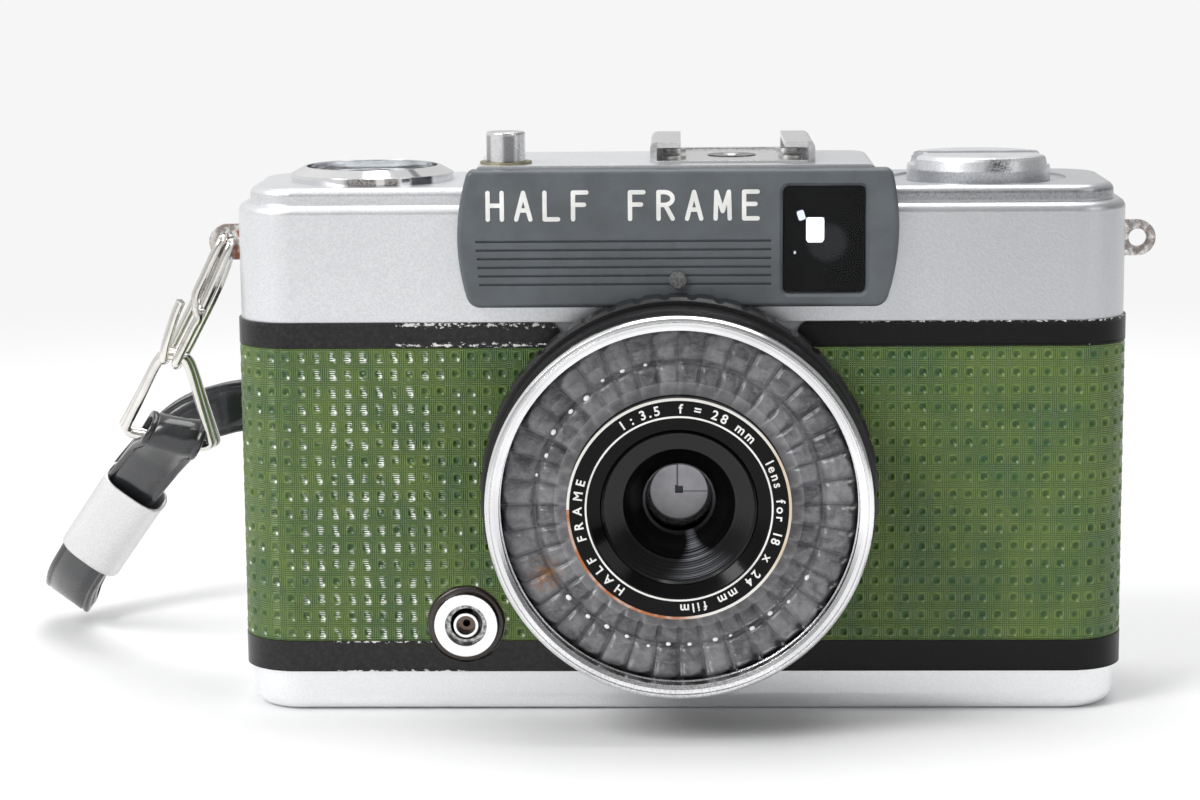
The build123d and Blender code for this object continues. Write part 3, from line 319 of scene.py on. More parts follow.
def finder_black():
    """Near-black finder interior, which stands for the shade inside the finder, with one faint smoky painted
    reflection.
    """
    s = material("finder_black")
    where = s.place()
    # painted reflection: a faint smoky patch near the opening
    ghost_reflection = s.times(s.near(where, (17.9, -14.1, 59.4), 1.8, 2.9), 0.6)
    ghost_reflection = s.times(ghost_reflection, s.fit(s.split(where)[2], 62.6 * MM, 60.8 * MM))
    base = s.mix(ghost_reflection, srgb(5, 5, 6), srgb(62, 62, 64))
    base = s.mix(s.times(s.fit(s.noise(where, 5200.0, 2.0, 0.8), 0.70, 0.74), 0.7), base,
                 srgb(150, 150, 150))
    return s.surface(Base_Color=base, Roughness=0.6, Specular_IOR_Level=0.05)


def offsets(s, where, centre):
    """Distances to the right of and above an axis that runs from front to back."""
    x, _, z = s.split(where)
    return s.minus(x, centre[0] * MM), s.minus(z, centre[1] * MM)


def radius_about(s, where, centre):
    dx, dz = offsets(s, where, centre)
    return s.math("SQRT", s.plus(s.times(dx, dx), s.times(dz, dz)))


def lens_angle(s, where):
    """Angle about the lens axis in degrees, 0 to the right."""
    dx, dz = offsets(s, where, LENS)
    return s.times(s.math("ARCTAN2", dz, dx), 180 / math.pi)


def cone_black():
    """Glossy black cone; turned lines with a painted highlight in one wedge at the lower right."""
    s = material("cone_black")
    where = s.place()
    radius, angle = radius_about(s, where, LENS), lens_angle(s, where)
    lines = s.noise(s.times(radius, 5200.0), 1.0, 3.0, 0.7)
    wide = s.fit(radius, 5.0 * MM, 9.0 * MM, 10.0, 34.0)
    off = s.size(s.plus(angle, 72.0))
    # painted highlight on the turned lines
    wedge = s.times(s.fit(s.math("DIVIDE", off, wide), 1.0, 0.15), s.fit(lines, 0.46, 0.62, 0.06, 1.0))
    wedge = s.times(wedge, s.fit(radius, 9.6 * MM, 8.2 * MM))
    base = s.mix(s.times(s.fit(lines, 0.5, 0.66), 0.5), srgb(7, 7, 8), srgb(34, 34, 36))
    base = s.mix(s.times(wedge, 0.6), base, srgb(170, 172, 180))
    return s.surface(Base_Color=base, Roughness=0.12, Specular_IOR_Level=0.35,
                     Normal=s.bump(lines, 0.01 * MM))


def worn_line():
    """Thin bright ring line gone coppery at the lower left and yellowish at the right."""
    s = material("worn_line")
    where = s.place()
    angle = lens_angle(s, where)
    mottle = s.fit(s.noise(where, 500.0, 3.0), 0.3, 0.6, 0.5, 1.0)
    copper = s.times(s.fit(s.size(s.plus(angle, 135.0)), 62.0, 40.0), mottle)
    straw = s.times(s.fit(s.size(angle), 50.0, 20.0), mottle)
    base = s.mix(copper, (0.82, 0.80, 0.76), srgb(178, 112, 72))
    base = s.mix(s.times(straw, 0.6), base, srgb(206, 176, 118))
    return s.surface(Base_Color=base, Metallic=0.8, Roughness=0.3,
                     Normal=s.bump(s.noise(where, 2600.0, 3.0), 0.01 * MM))


def glowing(name, colour, strength):
    """Glowing paint that stands for light coming through from the far end of the finder."""
    s = material(name)
    haze = s.noise(s.place(), 900.0, 3.0)
    level = s.times(s.fit(haze, 0.2, 0.8, 0.92, 1.0), strength)
    return s.surface(Base_Color=rgba(colour), Roughness=0.5, Emission_Color=rgba(colour),
                     Emission_Strength=level)


def green_leather():
    """Lacquered green covering: pits from the mesh, fine woven lines and colour from its grid, with painted
    shade in the pits and painted glints on the lacquer.
    """
    s = material("green_leather")
    grid = s.attribute("grid")
    where = s.place()
    x = s.split(where)[0]
    across = s.size(s.minus(s.fract(grid[0]), 0.5))
    upward = s.size(s.minus(s.fract(grid[1]), 0.5))
    band_u = s.fit(across, 0.24, 0.29)
    band_v = s.fit(upward, 0.24, 0.29)
    sway = s.times(s.minus(s.noise(where, 500.0, 3.0), 0.5), 0.12)
    lines_u = s.math("SINE", s.times(s.plus(grid[0], sway), 2 * math.pi * 8))
    lines_v = s.math("SINE", s.times(s.plus(grid[1], sway), 2 * math.pi * 9))
    weave = s.plus(s.times(lines_u, band_u), s.times(lines_v, band_v))
    blotch = s.noise(where, 150.0, 5.0)
    fine = s.noise(where, 2600.0, 4.0)
    base = s.mix(s.fit(blotch, 0.38, 0.62), srgb(54, 92, 44), srgb(84, 112, 42))
    base = s.mix(s.times(s.fit(weave, 0.1, 1.0), 0.7), base, srgb(122, 140, 74))
    base = s.mix(s.times(s.fit(weave, -0.1, -1.0), 0.7), base, srgb(26, 50, 12))
    # painted shade: the pits darken with their depth
    base = s.mix(s.times(s.fit(grid[2], -0.02, -0.16), 0.6), base, srgb(26, 54, 16))
    rim_tone = s.times(s.fit(grid[2], 0.01, 0.05), s.fit(s.noise(where, 900.0, 3.0), 0.4, 0.65, 0.05, 0.5))
    base = s.mix(rim_tone, base, srgb(134, 148, 76))
    worn = s.fit(s.noise(where, 700.0, 6.0, 0.7), 0.58, 0.70)
    base = s.mix(s.times(worn, 0.3), base, srgb(128, 122, 50))
    # painted glints on the lacquer: runs of short bright dashes in the pits of one group of columns, sparse
    # elsewhere
    column = s.fract(s.times(x, 1 / (PITCH_U * MM)))
    sway_x = s.times_plus(s.minus(s.noise(where, 900.0, 3.0), 0.5), 0.7, column)
    taper = s.times(s.fract(grid[1]), 0.14)
    spot = s.times(window(s, s.plus(sway_x, taper), 0.46, 0.72, 0.07),
                   window(s, s.fract(grid[1]), 0.12, 0.74, 0.10))
    dashes = s.fit(s.math("SINE", s.times(grid[1], 2 * math.pi * 8)), -0.25, 0.35)
    strip = s.times_plus(window(s, x, -46.5 * MM, -31.0 * MM, 2.6 * MM), 0.9,
                         s.fit(x, 0.0, -25.0 * MM, 0.0, 0.1))
    rim = s.times(window(s, column, 0.60, 0.74, 0.04),
                  window(s, s.fract(grid[1]), 0.20, 0.36, 0.04))
    fleck = s.noise(where, 620.0, 2.0)
    glint = s.times(s.times(spot, dashes), s.times(strip, s.fit(fleck, 0.38, 0.50)))
    sparse = s.times(rim, s.times(s.fit(fleck, 0.47, 0.60), s.fit(x, 5 * MM, -20 * MM, 0.14, 0.9)))
    glint = s.times(s.math("MINIMUM", s.plus(glint, sparse), 1.0),
                    s.fit(s.split(where)[1], 0.0, 4.0 * MM, 1.0, 0.0))
    base = s.mix(s.times(glint, 0.92), base, srgb(250, 252, 246))
    height = s.times_plus(fine, 0.6, s.times(weave, 0.6))
    normal = s.bump(height, 0.045 * MM)
    glaze = s.bump(s.times_plus(fine, 0.9, s.times(weave, 0.5)), 0.035 * MM)
    return s.surface(Base_Color=base, Roughness=0.45, Normal=normal, Coat_Weight=0.45,
                     Coat_Roughness=0.12, Coat_Normal=glaze, Specular_IOR_Level=0.3)


def black_trim():
    """Black paint, smooth for the most part, chipped along its edges down to bright metal. Painted lighter,
    with more coat, towards the left, where the light falls.
    """
    s = material("black_trim")
    where = s.place()
    x, _, z = s.split(where)

    def at(level, reach):
        return s.fit(s.size(s.minus(z, level * MM)), 0.0, reach * MM, 1.0, 0.0)

    upper = s.times(window(s, x, -35.5 * MM, -14.0 * MM, 1.0 * MM),
                    s.larger(at(49.3, 1.3), at(46.7, 0.9)))
    lower = s.times(window(s, x, -44.0 * MM, -26.0 * MM, 2.0 * MM),
                    s.larger(at(5.35, 0.5), at(9.1, 0.45)))
    zone = s.larger(upper, lower)
    stray = s.times(s.larger(s.larger(at(49.4, 0.3), at(5.35, 0.3)), at(46.5, 0.25)), 0.45)
    zone = s.larger(zone, stray)
    zone = s.larger(zone, s.times(window(s, x, 20 * MM, 58 * MM, 3 * MM), at(49.5, 0.5)))
    flakes = s.noise(s.scaled(where, (0.6, 1.0, 1.0)), 2000.0, 5.0, 0.7)
    chips = s.fit(s.times_plus(zone, 0.23, flakes), 0.74, 0.77)
    crinkle = s.noise(where, 1900.0, 6.0, 0.75)
    # painted light: lighter paint and more coat towards the left
    left = s.fit(x, 20.0 * MM, -20.0 * MM)
    deep = s.mix(left, srgb(4, 4, 5), srgb(14, 14, 15))
    base = s.mix(s.fit(crinkle, 0.3, 0.8), deep, s.mix(left, srgb(16, 15, 16), srgb(46, 43, 45)))
    base = s.mix(chips, base, srgb(226, 226, 224))
    height = s.minus(s.times(crinkle, s.fit(zone, 0.0, 0.6, 0.15, 1.3)), chips)
    return s.surface(Base_Color=base, Roughness=s.times_plus(crinkle, 0.25, 0.22),
                     Normal=s.bump(height, 0.06 * MM), Coat_Weight=s.times(left, 0.25),
                     Coat_Roughness=0.12, Specular_IOR_Level=0.22)


def cell_grey():
    """Smoky facets of the light cell, with painted shade and painted glints carried by the mesh."""
    s = material("cell_facets")
    where = s.place()
    facet = s.attribute("facet")
    cloud = s.noise(where, 520.0, 5.0, 0.65, 0.6)
    wisps = s.noise(s.scaled(where, (1.0, 1.0, 2.4)), 950.0, 4.0, 0.6, 1.2)
    tone = s.times_plus(facet[0], 0.22, s.times(cloud, 0.78))
    base = s.mix(s.fit(tone, 0.25, 0.75), srgb(54, 54, 58), srgb(132, 132, 135))
    base = s.mix(s.times(s.fit(wisps, 0.52, 0.7), 0.35), base, srgb(150, 150, 153))
    # painted shade in the valleys and at the facets' edges
    base = s.mix(s.times(s.fit(facet[1], 0.2, 0.9), 0.9), base, srgb(14, 14, 16))
    # a paler inner strip, and white painted glints on the small beads
    base = s.mix(facet[2], base, srgb(248, 248, 250))
    rust = s.times(s.near(where, (-16.4, -27.3, 20.8), 0.3, 2.9),
                   s.fit(s.noise(where, 1100.0, 5.0, 0.7), 0.42, 0.58))
    base = s.mix(rust, base, srgb(138, 96, 60))
    return s.surface(Base_Color=base, Roughness=0.34, Coat_Weight=0.3, Coat_Roughness=0.12,
                     Normal=s.bump(cloud, 0.03 * MM))


def chrome_ring():
    """Bright chrome with fine turning lines about the lens axis."""
    s = material("chrome")
    where = s.place()
    radius = radius_about(s, where, LENS)
    lines = s.noise(s.times(radius, 12000.0), 1.0, 4.0, 0.8)
    low = s.fit(s.split(where)[2], 22.0 * MM, 4.0 * MM)
    base = s.mix(s.fit(s.noise(where, 90.0, 2.0), 0.35, 0.65), (0.74, 0.74, 0.75), (0.92, 0.92, 0.93))
    grainy = s.times(low, s.fit(s.noise(where, 3200.0, 4.0, 0.75), 0.45, 0.6))
    base = s.mix(s.times(grainy, 0.5), base, (0.30, 0.30, 0.31))
    base = s.mix(s.times(s.fit(lines, 0.50, 0.64), 0.6), base, (0.22, 0.22, 0.23))
    rough = s.times_plus(lines, 0.14, 0.08)
    normal = s.bump(lines, 0.006 * MM, 1.0, s.rounded(0.00010))
    return s.surface(Base_Color=base, Metallic=1.0, Roughness=rough, Normal=normal)


def socket_metal():
    """Flash socket: bright rims, dark mottled insides."""
    s = material("socket_metal")
    where = s.place()
    radius = radius_about(s, where, SYNC)
    mottle = s.noise(where, 1500.0, 5.0, 0.7)
    inside = s.times(s.fit(radius, 2.66 * MM, 2.58 * MM), s.fit(mottle, 0.35, 0.65, 1.0, 0.35))
    sleeve = window(s, radius, 1.22 * MM, 1.56 * MM, 0.03 * MM)
    base = s.mix(inside, (0.95, 0.95, 0.95), (0.10, 0.095, 0.09))
    base = s.mix(sleeve, base, (0.95, 0.95, 0.95))
    base = s.mix(s.fit(radius, 1.24 * MM, 1.16 * MM), base, (0.13, 0.10, 0.085))
    return s.surface(Base_Color=base, Metallic=1.0, Roughness=s.times_plus(mottle, 0.2, 0.08),
                     Normal=s.bump(mottle, 0.02 * MM, 1.0, s.rounded(0.0001)))


def stop_blade():
    """Pale matt blades with the dark seams where they overlap, and a faint painted glow."""
    s = material("blade_grey")
    where = s.place()
    dx, dz = offsets(s, where, (LENS[0] - 0.2, LENS[1] - 0.2))
    upright = s.times(s.fit(s.size(dx), 0.14 * MM, 0.06 * MM), s.fit(dz, 0.0, 0.1 * MM))
    level = s.times(s.fit(s.size(dz), 0.14 * MM, 0.06 * MM), s.fit(dx, 0.0, 0.1 * MM))
    seam = s.larger(upright, level)
    cloud = s.noise(where, 700.0, 4.0)
    base = s.mix(s.fit(cloud, 0.3, 0.7), srgb(240, 232, 234), srgb(252, 248, 250))
    base = s.mix(s.times(seam, 0.85), base, srgb(60, 56, 58))
    # painted light: the blades glow faintly
    return s.surface(Base_Color=base, Metallic=0.0, Roughness=0.5, Normal=s.bump(cloud, 0.01 * MM),
                     Emission_Color=base, Emission_Strength=0.06)


def rusty_lug():
    s = material("lug_steel")
    where = s.place()
    rust = s.times(s.fit(s.noise(where, 700.0, 4.0, 0.6), 0.38, 0.56),
                   s.fit(s.split(where)[0], -56.3 * MM, -57.6 * MM, 1.0, 0.30))
    rust = s.times(rust, s.fit(s.split(where)[0], 0.0, 1.0 * MM, 1.0, 0.25))
    base = s.mix(s.fit(s.noise(where, 1300.0, 3.0), 0.4, 0.65), (0.30, 0.29, 0.28), (0.82, 0.81, 0.79))
    base = s.mix(rust, base, srgb(142, 84, 58))
    return s.surface(Base_Color=base, Metallic=s.fit(rust, 0.1, 0.6, 1.0, 0.1),
                     Roughness=s.fit(rust, 0.0, 0.6, 0.25, 0.8),
                     Normal=s.bump(s.noise(where, 1800.0, 3.0), 0.02 * MM, 1.0, s.rounded(0.0002)))


SATIN = ((0.83, 0.84, 0.86), 0.36, 0.022, 3800.0, 0.02, 0.90)
SLOTS = {
    "satin_silver": metal("satin_silver", *SATIN, speckle=0.10),
    "cast_alloy": metal("cast_alloy", (0.52, 0.53, 0.55), 0.5, 0.03, 3000.0, 0.14, 0.9, soil=0.2),
    "green_leather": green_leather(),
    "black_trim": black_trim(),
    "hood_plastic": plastic("hood_plastic", srgb(88, 93, 97), 0.42, 0.008, 3600.0, 0.2, 0.08, 0.0002, 0.4),
    "steel": metal("steel", (0.72, 0.71, 0.69), 0.28, 0.012, 4200.0, 0.12, soil=0.25),
    "chrome": chrome_ring(),
    "nickel_wire": metal("nickel_wire", (0.80, 0.78, 0.74), 0.16, 0.012, 2600.0, 0.15, soil=0.35,
                         soil_colour=(0.20, 0.17, 0.13), round_edges=0.0),
    "black_metal": plastic("black_metal", srgb(22, 22, 24), 0.34, 0.02, 2200.0, 0.2, 0.08, shine=0.35),
    "brass": metal("brass", (0.36, 0.33, 0.23), 0.4, 0.03, 3000.0, 0.3, soil=0.8,
                   soil_colour=(0.16, 0.14, 0.09)),
    "glass": clear("glass", (0.95, 0.96, 0.97), 0.01, 0.2),
    "clear_plastic": clear("clear_plastic", (0.85, 0.86, 0.86), 0.05),
    "cell_grey": cell_grey(),
    "blade_grey": stop_blade(),
    "dial_white": plastic("dial_white", srgb(222, 221, 216), 0.5, 0.004, 3000.0),
    "black_plastic": plastic("black_plastic", srgb(14, 14, 15), 0.25, 0.008, 3000.0, 0.3, shine=0.4),
    "vinyl": plastic("vinyl", srgb(34, 35, 38), 0.26, 0.03, 1300.0, 0.6, 0.06, 0.0),
    "ferrule_metal": metal("ferrule_metal", (0.80, 0.79, 0.79), 0.40, 0.02, 3800.0, 0.05, 0.8,
                           speckle=0.12),
}
BASE_SILVER = metal("base_silver", (0.97, 0.98, 0.99), 0.42, 0.02, 3800.0, 0.02, 0.86, speckle=0.06)
COVER = metal("cover_silver", *SATIN, speckle=0.10, tint=cover_painted_shade)
KNOB = metal("knob_silver", *SATIN, speckle=0.12, tint=knob_painted_reflections)
BEZEL = metal("bezel_chrome", (0.90, 0.90, 0.91), 0.07, 0.004, 3800.0, 0.04, 1.0, tint=bezel_painted_reflections)
BUTTON_STEEL = metal("button_steel", (0.80, 0.80, 0.81), 0.27, 0.02, 3800.0, 0.04, 1.0, speckle=0.15,
                     tint=button_painted_reflections)
SHOE_STEEL = metal("shoe_steel", (0.78, 0.78, 0.79), 0.26, 0.016, 3000.0, 0.05, 1.0, soil=0.3, speckle=0.12)
PIN_STEEL = metal("pin_steel", (0.30, 0.30, 0.30), 0.35, 0.06, 2600.0, 0.3, 1.0, speckle=0.5)
DEEP_BLACK = plastic("deep_black", srgb(6, 6, 7), 0.12, 0.004, 2600.0, 0.0, 0.0, shine=0.14)
FINDER_BLACK = finder_black()
CONE_BLACK = cone_black()
WHITE_PAINT = plastic("white_paint", srgb(236, 236, 233), 0.5, 0.01, 5200.0, 0.0, 0.0, 0.0)
COPPER_LINE = worn_line()
BROWN_PAINT = plastic("brown_paint", srgb(44, 34, 28), 0.35, 0.03, 1500.0, 0.4, 0.0, 0.0)
PALE_DISC = plastic("pale_disc", srgb(248, 248, 246), 0.45, 0.004, 3000.0, 0.0, 0.0, 0.0)
# glowing patches: painted light in the finder
FINDER_GLOW = glowing("finder_glow", srgb(255, 255, 255), 1.0)
GHOST_GLOW = glowing("ghost_glow", srgb(214, 220, 228), 0.85)
DIAL_INK = plastic("dial_ink", srgb(40, 40, 42), 0.6, 0.0, 3000.0, 0.0, 0.0, 0.0)
LUG_STEEL = rusty_lug()
SOCKET = socket_metal()

for node in frame["nodes"].values():
    for index, held in enumerate(node.data.materials):
        if held and held.name in SLOTS:
            node.data.materials[index] = SLOTS[held.name]
FINISHES = (("strap_lugs", LUG_STEEL), ("base_plate", BASE_SILVER), ("top_cover", COVER),
            ("rewind_knob", KNOB), ("rewind_crank", KNOB), ("counter_bezel", BEZEL),
            ("release_button", BUTTON_STEEL), ("hot_shoe", SHOE_STEEL), ("name_ring", DEEP_BLACK),
            ("front_cone", CONE_BLACK), ("shutter_housing", DEEP_BLACK), ("finder_tube", DEEP_BLACK),
            ("sync_shell", SOCKET), ("sync_contact", SOCKET), ("hood_pin", PIN_STEEL))
for node_name, finish in FINISHES:
    frame["nodes"][node_name].data.materials[0] = finish


# ------------------------------------------------------------------ mesh helpers
def add(name, data):
    made = bpy.data.objects.new(name, data)
    scene.collection.objects.link(made)
    return made


def piece(name, verts, faces, slot, body="body", smooth=True, replaces=(), material=None, vectors=None):
    """New mesh from millimetre corners, riding on a CAD body."""
    mesh = bpy.data.meshes.new(name)
    mesh.from_pydata([tuple(c * MM for c in v) for v in verts], [], [tuple(f) for f in faces])
    mesh.materials.append(material or SLOTS[slot])
    if vectors:
        for key, values in vectors.items():
            held = mesh.attributes.new(key, "FLOAT_VECTOR", "POINT")
            held.data.foreach_set("vector", np.array(values, np.float32).ravel())
    mesh.update()
    if smooth:
        mesh.shade_smooth()
    made = add(name, mesh)
    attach(made, body)
    if replaces:
        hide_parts(*replaces)


def grid_faces(rows, cols, close_cols=False, close_rows=False, flip=False):
    faces = []
    for i in range(rows if close_rows else rows - 1):
        for j in range(cols if close_cols else cols - 1):
            a, b = i * cols + j, i * cols + (j + 1) % cols
            c, d = ((i + 1) % rows) * cols + (j + 1) % cols, ((i + 1) % rows) * cols + j
            faces.append((a, d, c, b) if flip else (a, b, c, d))
    return faces


def unit(v):
    v = np.array(v, float)
    return v / max(np.linalg.norm(v), 1e-12)


def smooth_path(points, per_span):
    """Catmull-Rom curve through the points."""
    inner = [np.array(p, float) for p in points]
    pts = [2 * inner[0] - inner[1]] + inner + [2 * inner[-1] - inner[-2]]
    out = []
    for i in range(len(inner) - 1):
        a, b, c, d = pts[i:i + 4]
        for k in range(per_span):
            t = k / per_span
            out.append(0.5 * (2 * b + (c - a) * t + (2 * a - 5 * b + 4 * c - d) * t ** 2
                              + (3 * b - a - 3 * c + d) * t ** 3))
    return out + [pts[-2]]


def tube(path, radius, sides):
    """Round wire along a path, with a low point on each end."""
    last = len(path) - 1
    verts, up = [], np.array((0.13, 1.0, 0.07))
    for i, p in enumerate(path):
        along = unit(path[min(i + 1, last)] - path[max(i - 1, 0)])
        up = unit(up - along * up.dot(along))
        side = np.cross(along, up)
        for k in range(sides):
            a = 2 * math.pi * k / sides
            verts.append(p + radius * (math.cos(a) * up + math.sin(a) * side))
    faces = grid_faces(len(path), sides, close_cols=True)
    for end, other in ((0, 1), (last, last - 1)):
        tip = len(verts)
        verts.append(path[end] + unit(path[end] - path[other]) * radius * 0.5)
        for k in range(sides):
            a, b = end * sides + k, end * sides + (k + 1) % sides
            faces.append((a, b, tip) if end == 0 else (b, a, tip))
    return verts, faces


# ------------------------------------------------------------------ leather
CELL_STEPS = (-0.5, -0.38, -0.33, -0.285, -0.24, -0.19, -0.14, 0.0, 0.14, 0.19, 0.24, 0.285, 0.33, 0.38)


def off_centre(value, pitch):
    """Offset from the middle of the pit that the value falls in."""
    return (value / pitch - math.floor(value / pitch) - 0.5) * pitch


def only_used(verts, faces, grid):
    used = sorted({i for f in faces for i in f})
    order = {i: k for k, i in enumerate(used)}
    return ([verts[i] for i in used], [tuple(order[i] for i in f) for f in faces], [grid[i] for i in used])


def stud_height(du, dv):
    """Height over the sheet, in mm, at an offset from the middle of one pit."""
    r = (abs(du) ** 3 + abs(dv) ** 3) ** (1 / 3)
    if r < 0.55:
        t = max(r - 0.12, 0.0) / 0.43
        return -0.26 + 0.31 * t * t * (3 - 2 * t)
    t = min((r - 0.55) / 0.16, 1.0)
    return 0.05 * (1 - t * t * (3 - 2 * t))


def pit_depth(s, v):
    """Each pit is a little deeper or shallower than its neighbours."""
    seed = math.sin(math.floor(s / PITCH_U) * 12.9898 + math.floor(v / PITCH_V) * 78.233) * 43758.5453
    return 0.72 + 0.5 * (seed - math.floor(seed))


def wrap_point(s, side):
    """Point and outward normal at arc length s from the middle of the front, round one end."""
    flat = HALF_W - CORNER_R
    turn = CORNER_R * math.pi / 2
    if s <= flat:
        return (side * s, FRONT_Y), (0.0, -1.0)
    if s <= flat + turn:
        a = (s - flat) / CORNER_R
        centre = (flat, FRONT_Y + CORNER_R)
        n = (math.sin(a), -math.cos(a))
        return (side * (centre[0] + CORNER_R * n[0]), centre[1] + CORNER_R * n[1]), (side * n[0], n[1])
    return (side * HALF_W, FRONT_Y + CORNER_R + s - flat - turn), (side, 0.0)


def snap_out(x, z, centre, radius):
    dx, dz = x - centre[0], z - centre[1]
    d = max(math.hypot(dx, dz), 1e-6)
    return centre[0] + dx * radius / d, centre[1] + dz * radius / d


def stations(low, high, pitch):
    """Grid lines of the stud pattern between two limits."""
    values = {low, high}
    for i in range(math.floor(low / pitch) - 1, math.ceil(high / pitch) + 1):
        for step in CELL_STEPS:
            v = (i + 0.5 + step) * pitch
            if low < v < high:
                values.add(v)
    return sorted(values)


def leather_side(side, name):
    end = HALF_W - CORNER_R + CORNER_R * math.pi / 2 + SIDE_END - (FRONT_Y + CORNER_R)
    along = stations(10.0, end, PITCH_U)
    up = stations(0.0, LEATHER_Z[1] - LEATHER_Z[0], PITCH_V)
    holes = ((LENS, LENS_CLEAR), (SYNC, SYNC_CLEAR))
    flat_xz, normals, heights, grid = [], [], [], []
    for v in up:
        for s in along:
            (x, y), n = wrap_point(s, side)
            du, dv = off_centre(s, PITCH_U), off_centre(v, PITCH_V)
            flat_xz.append([x, y, LEATHER_Z[0] + v])
            normals.append(n)
            heights.append(stud_height(du, dv) * pit_depth(s, v) + random.uniform(-0.016, 0.016))
            grid.append([s / PITCH_U, v / PITCH_V, heights[-1]])
    on_front = [n[1] < -0.99 for n in normals]
    inside = [0] * len(flat_xz)
    for i, (x, y, z) in enumerate(flat_xz):
        for h, (centre, radius) in enumerate(holes):
            if on_front[i] and math.hypot(x - centre[0], z - centre[1]) < radius:
                inside[i] = h + 1
    faces = [f for f in grid_faces(len(up), len(along), flip=side < 0) if not all(inside[i] for i in f)]
    for f in faces:
        for i in f:
            if inside[i]:
                centre, radius = holes[inside[i] - 1]
                flat_xz[i][0], flat_xz[i][2] = snap_out(flat_xz[i][0], flat_xz[i][2], centre, radius)
                heights[i] = -0.05
    verts = [(p[0] + n[0] * h, p[1] + n[1] * h, p[2]) for p, n, h in zip(flat_xz, normals, heights)]
    verts, faces, grid = add_skirt(verts, faces, grid, normals, 0.45)
    piece(name, verts, faces, "green_leather", vectors={"grid": grid}, replaces=("front_leather",))


def add_skirt(verts, faces, grid, normals, depth):
    """Folds the open edges inwards so that the sheet has a visible thickness."""
    count = {}
    for f in faces:
        for a, b in zip(f, f[1:] + f[:1]):
            count[(a, b)] = count.get((a, b), 0) + 1
    verts, faces, grid = list(verts), list(faces), list(grid)
    inner = {}
    for a, b in [e for e in count if (e[1], e[0]) not in count]:
        for i in (a, b):
            if i not in inner:
                inner[i] = len(verts)
                n = normals[i]
                verts.append((verts[i][0] - n[0] * depth, verts[i][1] - n[1] * depth, verts[i][2]))
                grid.append(grid[i])
        faces.append((b, a, inner[a], inner[b]))
    return only_used(verts, faces, grid)


def door_panel():
    x0, x1, y = -46.9, 46.9, 13.5
    along = stations(x0, x1, PITCH_U)
    up = stations(0.1, LEATHER_Z[1] - LEATHER_Z[0] - 0.1, PITCH_V)
    verts, grid, normals = [], [], []
    for v in up:
        for x in along:
            du, dv = off_centre(x, PITCH_U), off_centre(v, PITCH_V)
            h = stud_height(du, dv) + random.uniform(-0.012, 0.012)
            verts.append((x, y + h, LEATHER_Z[0] + v))
            grid.append([x / PITCH_U, v / PITCH_V, h])
            normals.append((0.0, 1.0))
    return add_skirt(verts, grid_faces(len(up), len(along), flip=True), grid, normals, 0.28)


leather_side(-1, "leather_left")
leather_side(1, "leather_right")


def split_door_panel():
    """The rear panel in two halves, so that no piece is too heavy to export."""
    verts, faces, grid = door_panel()
    for name, keep in (("door_leather_left", lambda x: x < 0), ("door_leather_right", lambda x: x >= 0)):
        chosen = [f for f in faces if keep(sum(verts[i][0] for i in f) / len(f))]
        half_verts, half_faces, half_grid = only_used(verts, chosen, grid)
        piece(name, half_verts, half_faces, "green_leather", body="rear_door", vectors={"grid": half_grid},
              replaces=("door_leather",))


split_door_panel()


# ------------------------------------------------------------------ light cell facets
FACETS, FACET_STEPS = 40, 10
CELL_IN, CELL_SPLIT, CELL_OUT = 13.42, 17.3, 21.38
CELL_RIM_FLAT, CELL_PALE = 14.4, 14.99  # the innermost strip is flatter, and paler
FACET_Y, FACET_RISE, STRIP_Y, STRIP_RISE = -26.7, 0.75, -26.9, 0.2
CREASE_R = 19.3
BEAD_R, BEAD_Y = 17.2, -27.15


def facet_ring():
    radii = [13.42, 13.7, 14.3, 14.95, 15.05, 15.5, 16.1, 16.6, 16.95, 17.15, 17.3, 17.45, 17.7, 18.1, 18.6,
             19.15, 19.3, 19.45, 20.0, 20.5, 20.9, 21.2, 21.38]
    count = FACETS * FACET_STEPS
    tones = [(random.random(), random.random()) for _ in range(FACETS)]
    tilts = [(random.uniform(-0.12, 0.12), random.uniform(-0.10, 0.10)) for _ in range(2 * FACETS)]
    verts, facet = [], []
    for r in radii:
        for j in range(count):
            a = 2 * math.pi * j / count
            k, step = divmod(j, FACET_STEPS)
            t = step / FACET_STEPS
            row = 0 if r < CELL_SPLIT else 1
            inner, outer = (CELL_SPLIT, CELL_OUT) if row else (CELL_IN, CELL_SPLIT)
            s = (r - inner) / (outer - inner)
            edge_t = abs(2 * t - 1)
            edge_s = abs(2 * s - 1)
            pillow = (1 - edge_t ** 5.0) * (1 - edge_s ** (5.0 if row else 4.0))
            lean, dip = tilts[k + row * FACETS]
            y = FACET_Y - FACET_RISE * pillow + lean * (t - 0.5) * pillow + dip * (s - 0.5) * pillow
            valley = math.exp(-((r - CELL_SPLIT) / 0.24) ** 2) * (0.15 + 0.6 * edge_t ** 2)
            y += 0.3 * valley
            y -= 0.10 * math.exp(-((r - CREASE_R) / 0.12) ** 2) * pillow
            if r < CELL_RIM_FLAT:
                y = STRIP_Y - STRIP_RISE * pillow
            verts.append((LENS[0] + r * math.cos(a), y, LENS[1] + r * math.sin(a)))
            rim = s - 0.90 + 0.5 * (t - 0.30) ** 2 + tilts[k + FACETS][0]
            # painted shade: darker along the valley between the rows, at each facet's sides and at the outer
            # ends of the outer row
            dark = max(0.4 * valley, edge_t ** 18 * (0.55 if row else 0.25))
            if row:
                dark = max(dark, min(max(rim / 0.12, 0.0), 1.0))
            pale = 0.16 if r < CELL_PALE else 0.0
            facet.append((tones[k][row], dark, pale))
    faces = grid_faces(len(radii), count, close_cols=True)
    piece("cell_facets", verts, faces, "clear_plastic", material=SLOTS["cell_grey"],
          replaces=("cell_window",), vectors={"facet": facet})


facet_ring()


